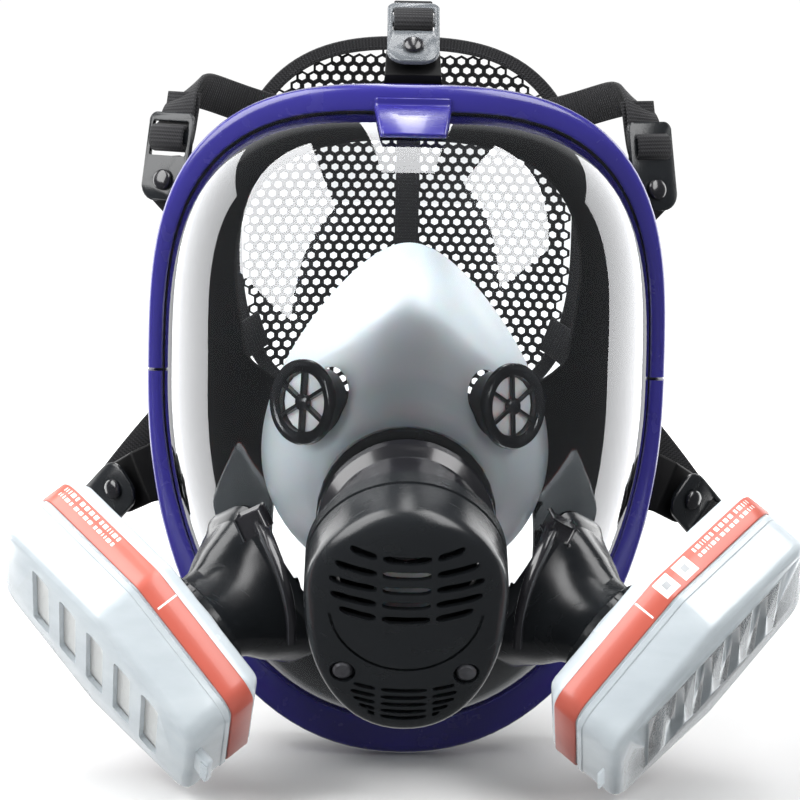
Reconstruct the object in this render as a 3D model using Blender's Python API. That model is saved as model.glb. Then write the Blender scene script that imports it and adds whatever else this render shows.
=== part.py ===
"""A full face respirator with two bayonet filter cartridges, as separate pieces.

Millimetres inside, metres in the scene. X runs to the right seen from the front, Y from the
front to the wearer's face and Z up. The origin is the centre of the face opening.
"""

import math

import bmesh
import bpy
from mathutils import Vector

MM = 0.001
STEPS = 48  # points round the rim of the mask

# Rim of the facepiece, measured on the outside of the frame
HALF_WIDTH = 98.0
RIM_TOP = 110.0
RIM_CHIN = 142.0
TOP_SQUARENESS = 3.0
CHIN_SQUARENESS = 2.15
SIDE_FRONT = -25.0
TOP_FRONT = -55.0
CHIN_FRONT = -45.0
FRAME_DEPTH = 14.0
FRAME_WALL = 2.3

# Visor
VISOR_APEX = -110.0
VISOR_WALL = 2.5
VISOR_SEAT = 2.7

# Centre unit: its axis leans down from the horizontal
CENTRE = Vector((0.0, -150.0, -65.0))
CENTRE_TILT = math.radians(24.0)
COVER_RADIUS = 35.4
COVER_TIP = 57.0
COVER_WALL = 2.0
COVER_BACK = 31.0
BARREL_RADIUS = 28.0
BARREL_BORE = 25.5
BARREL_END = 75.0
COLLAR_START = 68.5
COLLAR_END = 72.0
SCREW_X = 21.5
SCREW_DROP = 28.7

# Ports and filters, given for the right side and mirrored
PORT = Vector((73.2, -107.0, -82.0))
PORT_AXIS = Vector((0.74, -0.42, -0.53)).normalized()
FILTER_LENGTH_WAY = Vector((0.59, 0.41, 0.69))
PORT_BASE = Vector((56.0, -90.0, -75.0))
PORT_BASE_WAY = Vector((0.6, -0.58, -0.55)).normalized()
PORT_BASE_LENGTH_WAY = Vector((0.42, 0.1, 0.88))
PORT_BASE_HALF_LENGTH = 30.0
PORT_BASE_HALF_WIDTH = 18.0
FLANGE_RADIUS = 20.5
NECK_RADIUS = 14.5
NECK_BORE = 12.3
LUG_REACH = 18.2
BODY_THICK = 18.0
CAP_BACK = 18.4
CAP_FRONT = 36.0
FILTER_CORNERS = ((66, 26), (14, 37), (-38, 24), (-38, -30), (14, -45), (66, -34))
FILTER_CORNER_RADIUS = 9.0

# Nose cup
CUP_TOP = 52.0
CUP_CHIN = -76.0
CUP_HALF_WIDTH = 52.0
CUP_WALL = 1.8
CUP_STEPS = 30
CUP_VALVE = Vector((36.0, -84.0, -3.5))
CUP_VALVE_WAY = Vector((0.67, -0.74, 0.06)).normalized()
CUP_VALVE_RADIUS = 15.5

# Buckles: stud place and way the strap leaves, seen from the front
STRAP_WIDTH = 14.5
BUCKLE_WIDTH = 19.5
BUCKLE_THICK = 2.2
BUCKLE_LIFT = 2.9

# Head harness pad
PAD_CENTRE = Vector((0.0, 62.0, 48.0))
PAD_HALF_WIDTH = 70.0
PAD_SQUARENESS = 2.7
PAD_HALF_HEIGHT = 77.0
PAD_THICK = 2.0

AXIS_IN = Vector((0.0, math.cos(CENTRE_TILT), math.sin(CENTRE_TILT)))
AXIS_UP = Vector((0.0, -math.sin(CENTRE_TILT), math.cos(CENTRE_TILT)))
RIGHT = Vector((1.0, 0.0, 0.0))
SIDES = (("left", -1.0), ("right", 1.0))

COLOURS = {
    "visor": ((0.78, 0.86, 0.92), 0.06, 0.25),
    "frame": ((0.05, 0.05, 0.32), 0.35, 1.0),
    "rubber": ((0.02, 0.02, 0.023), 0.55, 1.0),
    "silicone": ((0.55, 0.62, 0.68), 0.4, 1.0),
    "black": ((0.035, 0.04, 0.045), 0.32, 1.0),
    "grey": ((0.28, 0.29, 0.31), 0.45, 1.0),
    "label": ((0.85, 0.22, 0.16), 0.5, 1.0),
    "clear": ((0.8, 0.82, 0.84), 0.15, 0.45),
    "pad": ((0.85, 0.85, 0.83), 0.9, 1.0),
    "steel": ((0.6, 0.6, 0.62), 0.3, 1.0),
    "web": ((0.05, 0.05, 0.055), 0.8, 1.0),
}


def clear_scene():
    """Removes everything the startup file put in the scene."""
    for obj in list(bpy.data.objects):
        bpy.data.objects.remove(obj, do_unlink=True)


def material(name, kind):
    """A Principled material for one piece."""
    colour, roughness, alpha = COLOURS[kind]
    made = bpy.data.materials.new(name + "_material")
    made.use_nodes = True
    shader = made.node_tree.nodes["Principled BSDF"]
    shader.inputs["Base Color"].default_value = (*colour, 1.0)
    shader.inputs["Roughness"].default_value = roughness
    shader.inputs["Alpha"].default_value = alpha
    shader.inputs["Metallic"].default_value = 1.0 if kind == "steel" else 0.0
    made.diffuse_color = (*colour, 1.0)
    return made


# ---------------------------------------------------------------- mesh building


def finish(name, mesh, kind, origin):
    """Turns a bmesh in millimetres into a named object whose own origin is at origin."""
    mesh.normal_update()
    bmesh.ops.recalc_face_normals(mesh, faces=mesh.faces)
    bmesh.ops.translate(mesh, verts=mesh.verts, vec=-origin)
    bmesh.ops.scale(mesh, verts=mesh.verts, vec=(MM, MM, MM))
    data = bpy.data.meshes.new(name)
    mesh.to_mesh(data)
    mesh.free()
    made = bpy.data.objects.new(name, data)
    made.location = origin * MM
    bpy.context.scene.collection.objects.link(made)
    if kind:
        data.materials.append(material(name, kind))
    else:
        made.hide_render = True
        made.display_type = "WIRE"
    return made


def skin(name, loops, kind, wrap=False, origin=None, poles=(None, None)):
    """Joins loops of equal length side by side. Ends get a flat face, or a fan to a pole."""
    mesh = bmesh.new()
    rows = [[mesh.verts.new(point) for point in loop] for loop in loops]
    count = len(rows[0])
    for index in range(len(rows) if wrap else len(rows) - 1):
        here, there = rows[index], rows[(index + 1) % len(rows)]
        for step in range(count):
            after = (step + 1) % count
            mesh.faces.new((here[step], here[after], there[after], there[step]))
    if not wrap:
        for row, pole in ((rows[0], poles[0]), (rows[-1], poles[1])):
            if pole is None:
                mesh.faces.new(row)
                continue
            tip = mesh.verts.new(pole)
            for step in range(count):
                mesh.faces.new((row[step], row[(step + 1) % count], tip))
    return finish(name, mesh, kind, origin or Vector())


def block(name, centre, axes, sizes, kind=None, origin=None):
    """A box with given axes. sizes are its full lengths along them."""
    mesh = bmesh.new()
    bmesh.ops.create_cube(mesh, size=1.0)
    for vert in mesh.verts:
        vert.co = centre + sum((axes[i] * vert.co[i] * sizes[i] for i in range(3)), Vector())
    return finish(name, mesh, kind, origin or Vector())


def ring_points(centre, first, second, radius, count, start=0.0):
    """Points of a circle about centre, from the first direction towards the second."""
    turns = [start + math.tau * step / count for step in range(count)]
    return [centre + (first * math.cos(t) + second * math.sin(t)) * radius for t in turns]


def turned(name, centre, axis, profile, kind, count=24, wrap=False, origin=None):
    """A solid of revolution. profile holds (radius, distance along axis)."""
    first = axis.orthogonal().normalized()
    if abs(axis.x) < 0.999:
        first = axis.cross(RIGHT).normalized()
    second = axis.cross(first).normalized()
    loops = [ring_points(centre + axis * away, first, second, radius, count)
             for radius, away in profile]
    return skin(name, loops, kind, wrap, origin)


def sweep(name, places, across, width, thick, kind, origin=None):
    """A flat strip along places. across gives its width direction at each."""
    loops = []
    for index, place in enumerate(places):
        before, after = places[max(index - 1, 0)], places[min(index + 1, len(places) - 1)]
        way = (after - before).normalized()
        side = (across[index] - way * across[index].dot(way)).normalized()
        up = way.cross(side)
        half, rise = side * width / 2, up * thick / 2
        loops.append([place + half + rise, place - half + rise,
                      place - half - rise, place + half - rise])
    return skin(name, loops, kind, False, origin)


def bolt_on(target, tool, operation="DIFFERENCE"):
    """A live exact Boolean of target with a hidden tool."""
    modifier = target.modifiers.new(operation.title() + "_" + tool.name, "BOOLEAN")
    modifier.object = tool
    modifier.operation = operation
    modifier.solver = "EXACT"
    return modifier


def mirrored(vector, side):
    """The vector on the given side: right is +1, left is -1."""
    return Vector((vector.x * side, vector.y, vector.z))


def mixed(start, end, share):
    """The value that share of the way from start to end."""
    return start + (end - start) * share


# ---------------------------------------------------------------- rim curves


def rim_radius(angle):
    """How far the outside of the frame is from the centre line, seen from the front."""
    high = math.sin(angle) >= 0
    tall, power = (RIM_TOP, TOP_SQUARENESS) if high else (RIM_CHIN, CHIN_SQUARENESS)
    share = abs(math.cos(angle) / HALF_WIDTH) ** power + abs(math.sin(angle) / tall) ** power
    return share ** (-1.0 / power)


def rim_front(angle):
    """Y of the frame's front face."""
    end = TOP_FRONT if math.sin(angle) >= 0 else CHIN_FRONT
    return mixed(SIDE_FRONT, end, math.sin(angle) ** 2)


def frame_reach(angle):
    """How far the frame's front flange reaches in over the visor."""
    more = 4.0 if math.sin(angle) >= 0 else 7.0
    return 5.8 + more * math.sin(angle) ** 2


def rim_point(angle, inward, back):
    """A point inward from the frame's outside and behind its front."""
    radius = rim_radius(angle) - inward
    return Vector((radius * math.cos(angle), rim_front(angle) + back,
                   radius * math.sin(angle)))


def rise(share):
    """How much of the visor's bulge there is at a share of the way out to its edge."""
    return math.sqrt(max(1.0 - share ** 2.8, 0.0))


def visor_y(x, z):
    """Y of the outside of the visor."""
    angle = math.atan2(z, x)
    edge = rim_radius(angle) - frame_reach(angle) - 0.8
    start = rim_front(angle) + VISOR_SEAT
    return mixed(start, VISOR_APEX, rise(min(math.hypot(x, z) / edge, 1.0)))


def visor_inner_y(x, z):
    """Y of the inside of the visor."""
    angle = math.atan2(z, x)
    edge = rim_radius(angle) - frame_reach(angle) - 0.8 - VISOR_WALL
    start = rim_front(angle) + VISOR_SEAT + VISOR_WALL
    share = min(math.hypot(x, z) / edge, 1.0)
    return mixed(start, VISOR_APEX + VISOR_WALL, rise(share))


def land(place, way, surface, clear):
    """Where a line from place along way comes to within clear of a surface, along Y."""
    near, far = 0.0, 110.0
    for _ in range(40):
        middle = (near + far) / 2
        here = place + way * middle
        if here.y < surface(here.x, here.z) + clear:
            near = middle
        else:
            far = middle
    return place + way * near


# ---------------------------------------------------------------- visor, frame, seal


def build_visor():
    """The moulded window, with its flat edge and three holes."""
    turns = [math.tau * step / STEPS for step in range(STEPS)]
    shares = (1.0, 0.983, 0.94, 0.86, 0.75, 0.61, 0.43, 0.22)

    def dome(share, inner):
        loop = []
        for turn in turns:
            edge = rim_radius(turn) - frame_reach(turn) - 0.8
            start = rim_front(turn) + VISOR_SEAT
            apex = VISOR_APEX
            if inner:
                edge, start, apex = edge - VISOR_WALL, start + VISOR_WALL, apex + VISOR_WALL
            loop.append(Vector((edge * share * math.cos(turn),
                                mixed(start, apex, rise(share)),
                                edge * share * math.sin(turn))))
        return loop

    loops = [dome(share, False) for share in reversed(shares)]
    loops.append([rim_point(turn, 2.9, VISOR_SEAT) for turn in turns])
    loops.append([rim_point(turn, 2.9, VISOR_SEAT + VISOR_WALL) for turn in turns])
    loops += [dome(share, True) for share in shares]
    poles = (Vector((0, VISOR_APEX, 0)), Vector((0, VISOR_APEX + VISOR_WALL, 0)))
    visor = skin("visor", loops, "visor", poles=poles)
    centre = turned("visor_centre_cutter", CENTRE, AXIS_IN, ((29.6, 30), (29.6, 90)), None, 32)
    bolt_on(visor, centre)
    for label, side in SIDES:
        way = mirrored(PORT_BASE_WAY, side)
        place = mirrored(PORT_BASE, side)
        cutter = turned("visor_port_cutter_" + label, place, way, ((15.9, -35), (15.9, 30)),
                        None, 24)
        bolt_on(visor, cutter)


def frame_section(turn):
    """The C-shaped section of the clamping frame."""
    reach = frame_reach(turn)
    places = ((reach, 0.7), (reach - 1.3, 0.0), (2.0, 0.0), (0.0, 2.0),
              (0.0, FRAME_DEPTH - 1.5), (1.5, FRAME_DEPTH), (7.0, FRAME_DEPTH),
              (7.0, FRAME_DEPTH - 2.0), (FRAME_WALL, FRAME_DEPTH - 2.0),
              (FRAME_WALL, 2.3), (reach, 2.3))
    return [rim_point(turn, inward, back) for inward, back in places]


def build_frame():
    """Two frame halves that meet at the widest points, and the screws that join them."""
    gap = math.radians(0.35)
    steps = STEPS // 2
    halves = {}
    for name, start in (("frame_upper", 0.0), ("frame_lower", math.pi)):
        turns = [mixed(start + gap, start + math.pi - gap, step / steps)
                 for step in range(steps + 1)]
        halves[name] = skin(name, [frame_section(turn) for turn in turns], "frame")
    loops = []
    for inward, half in ((6.0, 14.5), (9.5, 14.5), (12.0, 13.8), (15.0, 13.0), (18.5, 12.0)):
        z = RIM_TOP - inward
        low = max(inward - 9.0, 0.0)
        lift = Vector((0, -2.4, 2.0)) if low else Vector((0, -2.6, 0.4))
        y = min(visor_y(half, z), visor_y(0, z)) - 0.9 if low else TOP_FRONT + 1.2
        base = Vector((0, y, z))
        loops.append([base - RIGHT * half, base + RIGHT * half,
                      base + RIGHT * half + lift, base - RIGHT * half + lift])
    tab = skin("frame_tab", loops, None)
    bolt_on(halves["frame_upper"], tab, "UNION")
    axes = (RIGHT, Vector((0, 1, 0)), Vector((0, 0, 1)))
    for label, side in SIDES:
        place = Vector(((HALF_WIDTH - 3.6) * side, SIDE_FRONT + FRAME_DEPTH + 2.6, 0))
        for name, lift in (("frame_upper", 4.6), ("frame_lower", -4.6)):
            lug = block(name + "_lug_" + label, place + Vector((0, -0.3, lift)), axes, (6.6, 6.4, 8))
            bolt_on(halves[name], lug, "UNION")
            hole = turned(name + "_hole_" + label, place + Vector((0, 0.2, 0)), axes[2],
                          ((1.5, -14), (1.5, 14)), None, 12)
            bolt_on(halves[name], hole)
        profile = ((1.25, -8.8), (1.25, 8.75), (2.7, 8.75), (2.7, 10.2), (2.0, 10.8))
        turned("frame_screw_" + label, place + Vector((0, 0.2, 0)), axes[2], profile, "steel", 12)


def lip_reach(turn):
    """How far in the sealing lip's free edge is from the frame's outside."""
    less = 15.0 if math.sin(turn) >= 0 else 11.0
    return 37.0 - less * math.sin(turn) ** 2


def lip_back(turn):
    """Y of the rearmost fold of the seal."""
    return -(10.0 if math.sin(turn) >= 0 else 7.0) * math.sin(turn) ** 2


def seal_section(turn):
    """The seal: bead in the frame, wall, rear fold and lip turned in."""
    front = rim_front(turn)
    back = lip_back(turn)
    reach = lip_reach(turn)
    middle = mixed(front + FRAME_DEPTH, back, 0.55)
    bulge = mixed(7.9, 4.5, min(abs(math.sin(turn)) * 3.0, 1.0))
    places = ((3.1, front + 5.8), (3.1, front + 11.5), (7.9, front + 11.5),
              (7.9, front + 14.4), (bulge, middle), (bulge + 0.3, back - 3.0), (8.0, back),
              (13.0, back - 0.3), (mixed(13.0, reach, 0.6), back - 4.5), (reach, back - 11.0),
              (reach - 1.0, back - 12.0), (mixed(12.5, reach, 0.52), back - 6.6),
              (12.0, back - 3.4), (max(8.4, bulge + 2.2), back - 3.8), (bulge + 3.0, middle), (10.6, front + 13.0),
              (10.6, front + 5.7))
    loop = []
    for inward, y in places:
        radius = rim_radius(turn) - inward
        loop.append(Vector((radius * math.cos(turn), y, radius * math.sin(turn))))
    return loop


# Stud place, way the tab faces, way the strap leaves, each on the right or middle
STATIONS = (
    ("top", Vector((0, -32, 119.5)), Vector((0, -0.62, 0.78)), Vector((0, 0.78, 0.62))),
    ("upper", Vector((91, -10, 70)), Vector((0.45, -0.86, 0.2)), Vector((-0.12, 0.2, 0.97))),
    ("lower", Vector((108, -5, -48)), Vector((0.62, -0.76, -0.1)), Vector((0.5, 0.5, -0.6))),
)


def stations():
    """Each buckle's label, stud place, facing way and strap way."""
    for name, place, facing, leave in STATIONS:
        for label, side in SIDES:
            if name == "top" and side < 0:
                continue
            facing_here = mirrored(facing, side).normalized()
            leave_here = mirrored(leave, side)
            leave_here -= facing_here * leave_here.dot(facing_here)
            tag = name if name == "top" else name + "_" + label
            yield tag, mirrored(place, side), facing_here, leave_here.normalized()


def build_seal():
    """The rubber face seal with a tab under each buckle."""
    turns = [math.tau * step / STEPS for step in range(STEPS)]
    seal = skin("face_seal", [seal_section(turn) for turn in turns], "rubber", wrap=True)
    for tag, stud, facing, leave in stations():
        turn = math.atan2(stud.z, stud.x)
        root = rim_point(turn, 6.0, FRAME_DEPTH + 5.5)
        across = facing.cross(Vector((math.cos(turn), 0, math.sin(turn)))).normalized()
        out = across.cross(facing).normalized()
        if out.dot(stud) < 0:
            out = -out
        loops = []
        for place, width, thick in ((root, 24, 3.0), (stud - out * 10, 21, 3.4),
                                    (stud + out * 4, 20, 3.4), (stud + out * 8, 13, 3.2)):
            way = facing if place is not root else (out.cross(across)).normalized()
            way = way if way.dot(facing) > 0 else -way
            half, deep = across * width / 2, way * thick
            loops.append([place + half, place - half, place - half - deep, place + half - deep])
        tab = skin("seal_tab_" + tag, loops, None)
        bolt_on(seal, tab, "UNION")
        hole = turned("seal_tab_hole_" + tag, stud, facing, ((2.4, -8), (2.4, 4)), None, 12)
        bolt_on(seal, hole)


# ---------------------------------------------------------------- nose cup


def cup_rear(turn, inset=0.0):
    """The rear edge of the cup. turn is from the top."""
    up = math.cos(turn)
    half = (CUP_TOP - CUP_CHIN) / 2
    x = (CUP_HALF_WIDTH - inset) * math.sin(turn) * (1 - 0.33 * up - 0.06 * up * up)
    z = (CUP_TOP + CUP_CHIN) / 2 + (half - inset) * up
    return Vector((x, mixed(-26.0, -50.0, max(up, 0) ** 1.5) - 8 * max(-up, 0), z))


def cup_loop(share, inner):
    """A loop of the cup from its rear edge (0) to its collar (1)."""
    inset = CUP_WALL if inner else 0.0
    loop = []
    for step in range(CUP_STEPS):
        turn = math.tau * step / CUP_STEPS
        rear = cup_rear(turn, inset)
        way = RIGHT * math.sin(turn) + AXIS_UP * math.cos(turn)
        collar = CENTRE + AXIS_IN * COLLAR_END + way * (30.3 - inset)
        bulge = math.sin(math.pi * share) * 9.0
        point = rear.lerp(collar, share)
        out = Vector((point.x, 0, point.z + 30)).normalized()
        loop.append(point + out * bulge * 0.55 + Vector((0, -bulge * 0.5, 0)))
    return loop


def build_nose_cup():
    """The oronasal cup, its two one-way valves and their flaps."""
    shares = (0.0, 0.2, 0.42, 0.64, 0.84, 1.0)
    collar = [ring_points(CENTRE + AXIS_IN * COLLAR_START, AXIS_UP, RIGHT, radius, CUP_STEPS)
              for radius in (30.3, 28.5)]
    loops = [cup_loop(share, False) for share in shares] + collar
    loops += [cup_loop(share, True) for share in reversed(shares)]
    cup = skin("nose_cup", loops, "silicone", wrap=True)
    for label, side in SIDES:
        place, way = mirrored(CUP_VALVE, side), mirrored(CUP_VALVE_WAY, side)
        hole = turned("cup_valve_cutter_" + label, place, way, ((12.6, -22), (12.6, 14)),
                      None, 24)
        bolt_on(cup, hole)
        profile = ((11.0, -8.0), (12.1, -8.0), (12.1, 1.6), (15.5, 1.6), (15.5, 3.4),
                   (14.5, 4.2), (11.0, 4.2))
        seat = turned("cup_valve_seat_" + label, place, way, profile, "black", 24, True)
        for step in range(2):
            first = way.cross(Vector((0, 0, 1))).normalized()
            turn = math.pi * (step + 0.5) / 2
            second = way.cross(first)
            along = first * math.cos(turn) + second * math.sin(turn)
            beside = way.cross(along)
            spoke = block("cup_spoke_%s_%d" % (label, step), place + way * 2.6,
                          (along, beside, way), (23.0, 1.6, 2.0))
            bolt_on(seat, spoke, "UNION")
        turned("cup_valve_flap_" + label, place, way,
               ((10.6, 0.2), (10.6, 1.0)), "silicone", 20,
               origin=place + way * 0.6)


# ---------------------------------------------------------------- centre unit


def egg_point(turn, inset, away):
    """A point of the cover's outline. turn is from the top; away is behind the face."""
    up = math.cos(turn)
    across = math.sin(turn)
    if up >= 0:
        radius = COVER_RADIUS - inset
        x, lift = across * radius, up * radius
    else:
        wide, tall = COVER_RADIUS - inset, COVER_TIP - inset
        radius = (abs(across / wide) ** 2.15 + abs(up / tall) ** 2.15) ** (-1 / 2.15)
        x, lift = across * radius, up * radius
    return CENTRE + RIGHT * x + AXIS_UP * lift + AXIS_IN * away


def egg_loop(inset, away, count=32):
    """A loop round the cover's outline."""
    return [egg_point(math.tau * step / count, inset, away) for step in range(count)]


def face_loop(share, away, inner, count=32):
    """A loop of the cover's face, at a share of the way out from the middle."""
    inset = COVER_WALL if inner else 0.0
    middle = CENTRE - AXIS_UP * 8.0 + AXIS_IN * away
    return [middle.lerp(egg_point(math.tau * step / count, inset, away), share)
            for step in range(count)]


def build_cover():
    """The louvred cover, its two bosses and screws."""
    outer = ((1.0, 9.0), (0.975, 5.4), (0.9, 2.8), (0.62, 0.8))
    loops = [face_loop(share, away, False) for share, away in reversed(outer)]
    loops.append(egg_loop(0.0, COVER_BACK))
    loops.append(egg_loop(COVER_WALL, COVER_BACK))
    loops += [face_loop(share, away + COVER_WALL, True) for share, away in outer]
    middle = CENTRE - AXIS_UP * 8.0
    cover = skin("front_cover", loops, "black", poles=(middle, middle + AXIS_IN * COVER_WALL))
    for label, side in SIDES:
        place = CENTRE + RIGHT * SCREW_X * side - AXIS_UP * SCREW_DROP
        boss = turned("cover_boss_" + label, place, AXIS_IN, ((5.2, 3.3), (5.2, 26.5)), None, 16)
        bolt_on(cover, boss, "UNION")
    slots = [(lift, drop, 24.0) for lift, drop in ((17, 0), (10.6, 0), (4.2, 0), (-2.2, 0))]
    slots += [(lift, drop, 16.0) for lift, drop in ((-38, 1), (-43, 1), (-48, 1))]
    for index, (lift, lower, half) in enumerate(slots):
        for part, (x, wide, lean) in enumerate(((0, 16, 0.0), (1, 0, 0.35), (-1, 0, -0.35))):
            if x:
                wide = half - 10.5
                place = RIGHT * x * (10.5 + wide / 2) + AXIS_UP * (lift + wide * 0.17)
            else:
                place = AXIS_UP * lift
            along = RIGHT * math.cos(lean) + AXIS_UP * math.sin(lean)
            tall = 2.6 if lower else 3.4
            cutter = block("louvre_cutter_%d_%d" % (index, part), CENTRE + place + AXIS_IN * 2,
                           (along, AXIS_IN, along.cross(AXIS_IN)), (wide, 14, tall))
            bolt_on(cover, cutter)
    for label, side in SIDES:
        place = CENTRE + RIGHT * SCREW_X * side - AXIS_UP * SCREW_DROP
        profile = ((3.9, -4), (3.9, 5.6), (1.9, 5.6), (1.9, 40))
        hole = turned("cover_screw_cutter_" + label, place, AXIS_IN, profile, None, 16)
        bolt_on(cover, hole)
        profile = ((2.6, 1.9), (3.5, 2.5), (3.5, 5.3), (1.5, 5.3), (1.5, 30.6))
        turned("cover_screw_" + label, place, AXIS_IN, profile, "steel", 16)


def seat_loop(radius, surface, clear, count=32):
    """A circle about the centre unit's axis, moved back onto the visor."""
    loop = ring_points(CENTRE + AXIS_IN * 25, AXIS_UP, RIGHT, radius, count)
    return [land(point, AXIS_IN, surface, clear) for point in loop]


def build_centre():
    """The adapter through the visor, its nut, valve plate, flap and speech diaphragm."""
    def circle(radius, away):
        return ring_points(CENTRE + AXIS_IN * away, AXIS_UP, RIGHT, radius, 32)

    def moved(loop, away):
        return [point + AXIS_IN * away for point in loop]

    seat = seat_loop(32.0, visor_y, -0.7)
    loops = [egg_loop(2.7, 27.0), egg_loop(2.7, 31.0), circle(BARREL_RADIUS, 31.0),
             moved(seat_loop(29.0, visor_y, -0.7), -5.5), moved(seat, -2.2), seat,
             seat_loop(BARREL_RADIUS, visor_y, -0.7), circle(BARREL_RADIUS, BARREL_END),
             circle(BARREL_BORE, BARREL_END), circle(BARREL_BORE, 27.0)]
    adapter = skin("centre_adapter", loops, "black", wrap=True)
    for label, side in SIDES:
        place = CENTRE + RIGHT * SCREW_X * side - AXIS_UP * SCREW_DROP
        hole = turned("adapter_screw_cutter_" + label, place, AXIS_IN, ((1.9, 20), (1.9, 33)),
                      None, 12)
        bolt_on(adapter, hole)
    inner = [seat_loop(radius, visor_inner_y, 1.2) for radius in (28.4, 32.2)]
    loops = [inner[0], inner[1], moved(inner[1], 2.6), moved(inner[0], 2.6)]
    skin("adapter_nut", loops, "black", wrap=True)

    plate = turned("valve_plate", CENTRE, AXIS_IN,
                   ((25.1, 30.0), (25.1, 33.0)), "black", 32)
    upper, lower = CENTRE + AXIS_UP * 12.4, CENTRE - AXIS_UP * 12.4
    hole = turned("speech_cutter", upper, AXIS_IN, ((9.4, 26), (9.4, 36)), None, 24)
    bolt_on(plate, hole)
    for step in range(4):
        turn = math.pi * (step + 0.5) / 2
        place = lower + (RIGHT * math.cos(turn) + AXIS_UP * math.sin(turn)) * 5.6
        hole = turned("exhale_cutter_%d" % step, place, AXIS_IN, ((3.3, 26), (3.3, 36)),
                      None, 12)
        bolt_on(plate, hole)
    turned("speech_diaphragm", upper, AXIS_IN,
           ((3.0, 28.1), (9.0, 28.2), (10.0, 27.2), (11.4, 27.2), (11.4, 29.7), (10.0, 29.7),
            (9.0, 28.8), (3.0, 28.6)), "steel", 24)
    turned("exhalation_flap", lower, AXIS_IN, ((11.0, 28.8), (11.0, 29.7)), "silicone", 24,
           origin=lower + AXIS_IN * 29.2)


# ---------------------------------------------------------------- ports and filters


def filter_axes(side):
    """The filter's outward axis, length way and width way on one side."""
    along = (FILTER_LENGTH_WAY - PORT_AXIS * FILTER_LENGTH_WAY.dot(PORT_AXIS)).normalized()
    beside = PORT_AXIS.cross(along)
    return mirrored(PORT_AXIS, side), mirrored(along, side), mirrored(beside, side)


def rounded(corners, radius, inset=0.0, steps=4):
    """Points round a polygon with rounded corners, moved in by inset."""
    centre = Vector((sum(c[0] for c in corners), sum(c[1] for c in corners))) / len(corners)
    points = []
    count = len(corners)
    for index in range(count):
        here = Vector(corners[index])
        before = (Vector(corners[index - 1]) - here).normalized()
        after = (Vector(corners[(index + 1) % count]) - here).normalized()
        half = before.angle(after) / 2
        middle = here + (before + after).normalized() * (radius / math.sin(half))
        start = here + before * (radius / math.tan(half)) - middle
        end = here + after * (radius / math.tan(half)) - middle
        for step in range(steps + 1):
            way = start.slerp(end, step / steps).normalized()
            points.append(middle + way * (radius - inset))
    return points if centre else points


def filter_loop(side, inset, away, origin_shift=0.0):
    """A loop of the filter's outline on one side, at a distance out from the port."""
    out, along, beside = filter_axes(side)
    base = mirrored(PORT, side) + out * away
    return [base + along * p.x + beside * p.y
            for p in rounded(FILTER_CORNERS, FILTER_CORNER_RADIUS, inset)]


def build_port(label, side):
    """The housing from the visor to the bayonet, with its inlet valve and gasket."""
    out, along, beside = filter_axes(side)
    port, base = mirrored(PORT, side), mirrored(PORT_BASE, side)
    way = mirrored(PORT_BASE_WAY, side)
    first = mirrored(PORT_BASE_LENGTH_WAY, side)
    first = (first - way * first.dot(way)).normalized()
    second = way.cross(first) * side

    def at_port(radius, away):
        return ring_points(port + out * away, along, beside, radius, 24)

    def at_base(half_length, half_width, more=0.0):
        loop = []
        for step in range(24):
            turn = math.tau * step / 24
            c, s = math.cos(turn), math.sin(turn)
            wide = half_width if s > 0 else half_width * 0.62
            reach = (abs(c / half_length) ** 3 + abs(s / wide) ** 3) ** (-1 / 3)
            start = base + way * 30 + (first * c + second * s) * reach
            loop.append(land(start, -way, visor_y, -0.7) - way * more)
        return loop

    loops = [at_port(NECK_RADIUS, 8.0), at_port(NECK_RADIUS, 0.0), at_port(FLANGE_RADIUS, 0.0),
             at_port(FLANGE_RADIUS, -3.0), at_port(FLANGE_RADIUS - 2, -3.6),
             at_base(PORT_BASE_HALF_LENGTH - 0.6, PORT_BASE_HALF_WIDTH - 0.6, -3.0),
             at_base(PORT_BASE_HALF_LENGTH, PORT_BASE_HALF_WIDTH), at_base(13.4, 13.0),
             at_base(13.4, 13.0, 4.6), at_base(11.4, 11.0, 4.6), at_base(11.2, 10.8),
             at_port(NECK_BORE, -9.0), at_port(NECK_BORE, 8.0)]
    housing = skin("port_housing_" + label, loops, "black", wrap=True)
    for step in range(3):
        turn = math.tau * step / 3 + 0.5
        reach = along * math.cos(turn) + beside * math.sin(turn)
        lug = block("port_lug_%s_%d" % (label, step), port + out * 5.6 + reach * 15.4,
                    (reach, out.cross(reach), out), (LUG_REACH - 12.6, 9.0, 2.0))
        bolt_on(housing, lug, "UNION")
    seat = turned("inlet_seat_" + label, port, out, ((12.0, -6.4), (12.0, -4.4)), "black", 24)
    for step in range(4):
        turn = math.pi * (step + 0.5) / 2
        place = port + (along * math.cos(turn) + beside * math.sin(turn)) * 6.6
        hole = turned("inlet_cutter_%s_%d" % (label, step), place, out, ((3.6, -9), (3.6, -2)),
                      None, 12)
        bolt_on(seat, hole)
    place = port - out * 7.2
    turned("inlet_flap_" + label, port, out, ((11.2, -7.6), (11.2, -6.7)), "silicone", 20,
           origin=place)
    turned("port_gasket_" + label, port, out,
           ((14.9, 0.25), (20.0, 0.25), (20.0, 0.85), (14.9, 0.85)), "rubber", 28, True)


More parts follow.
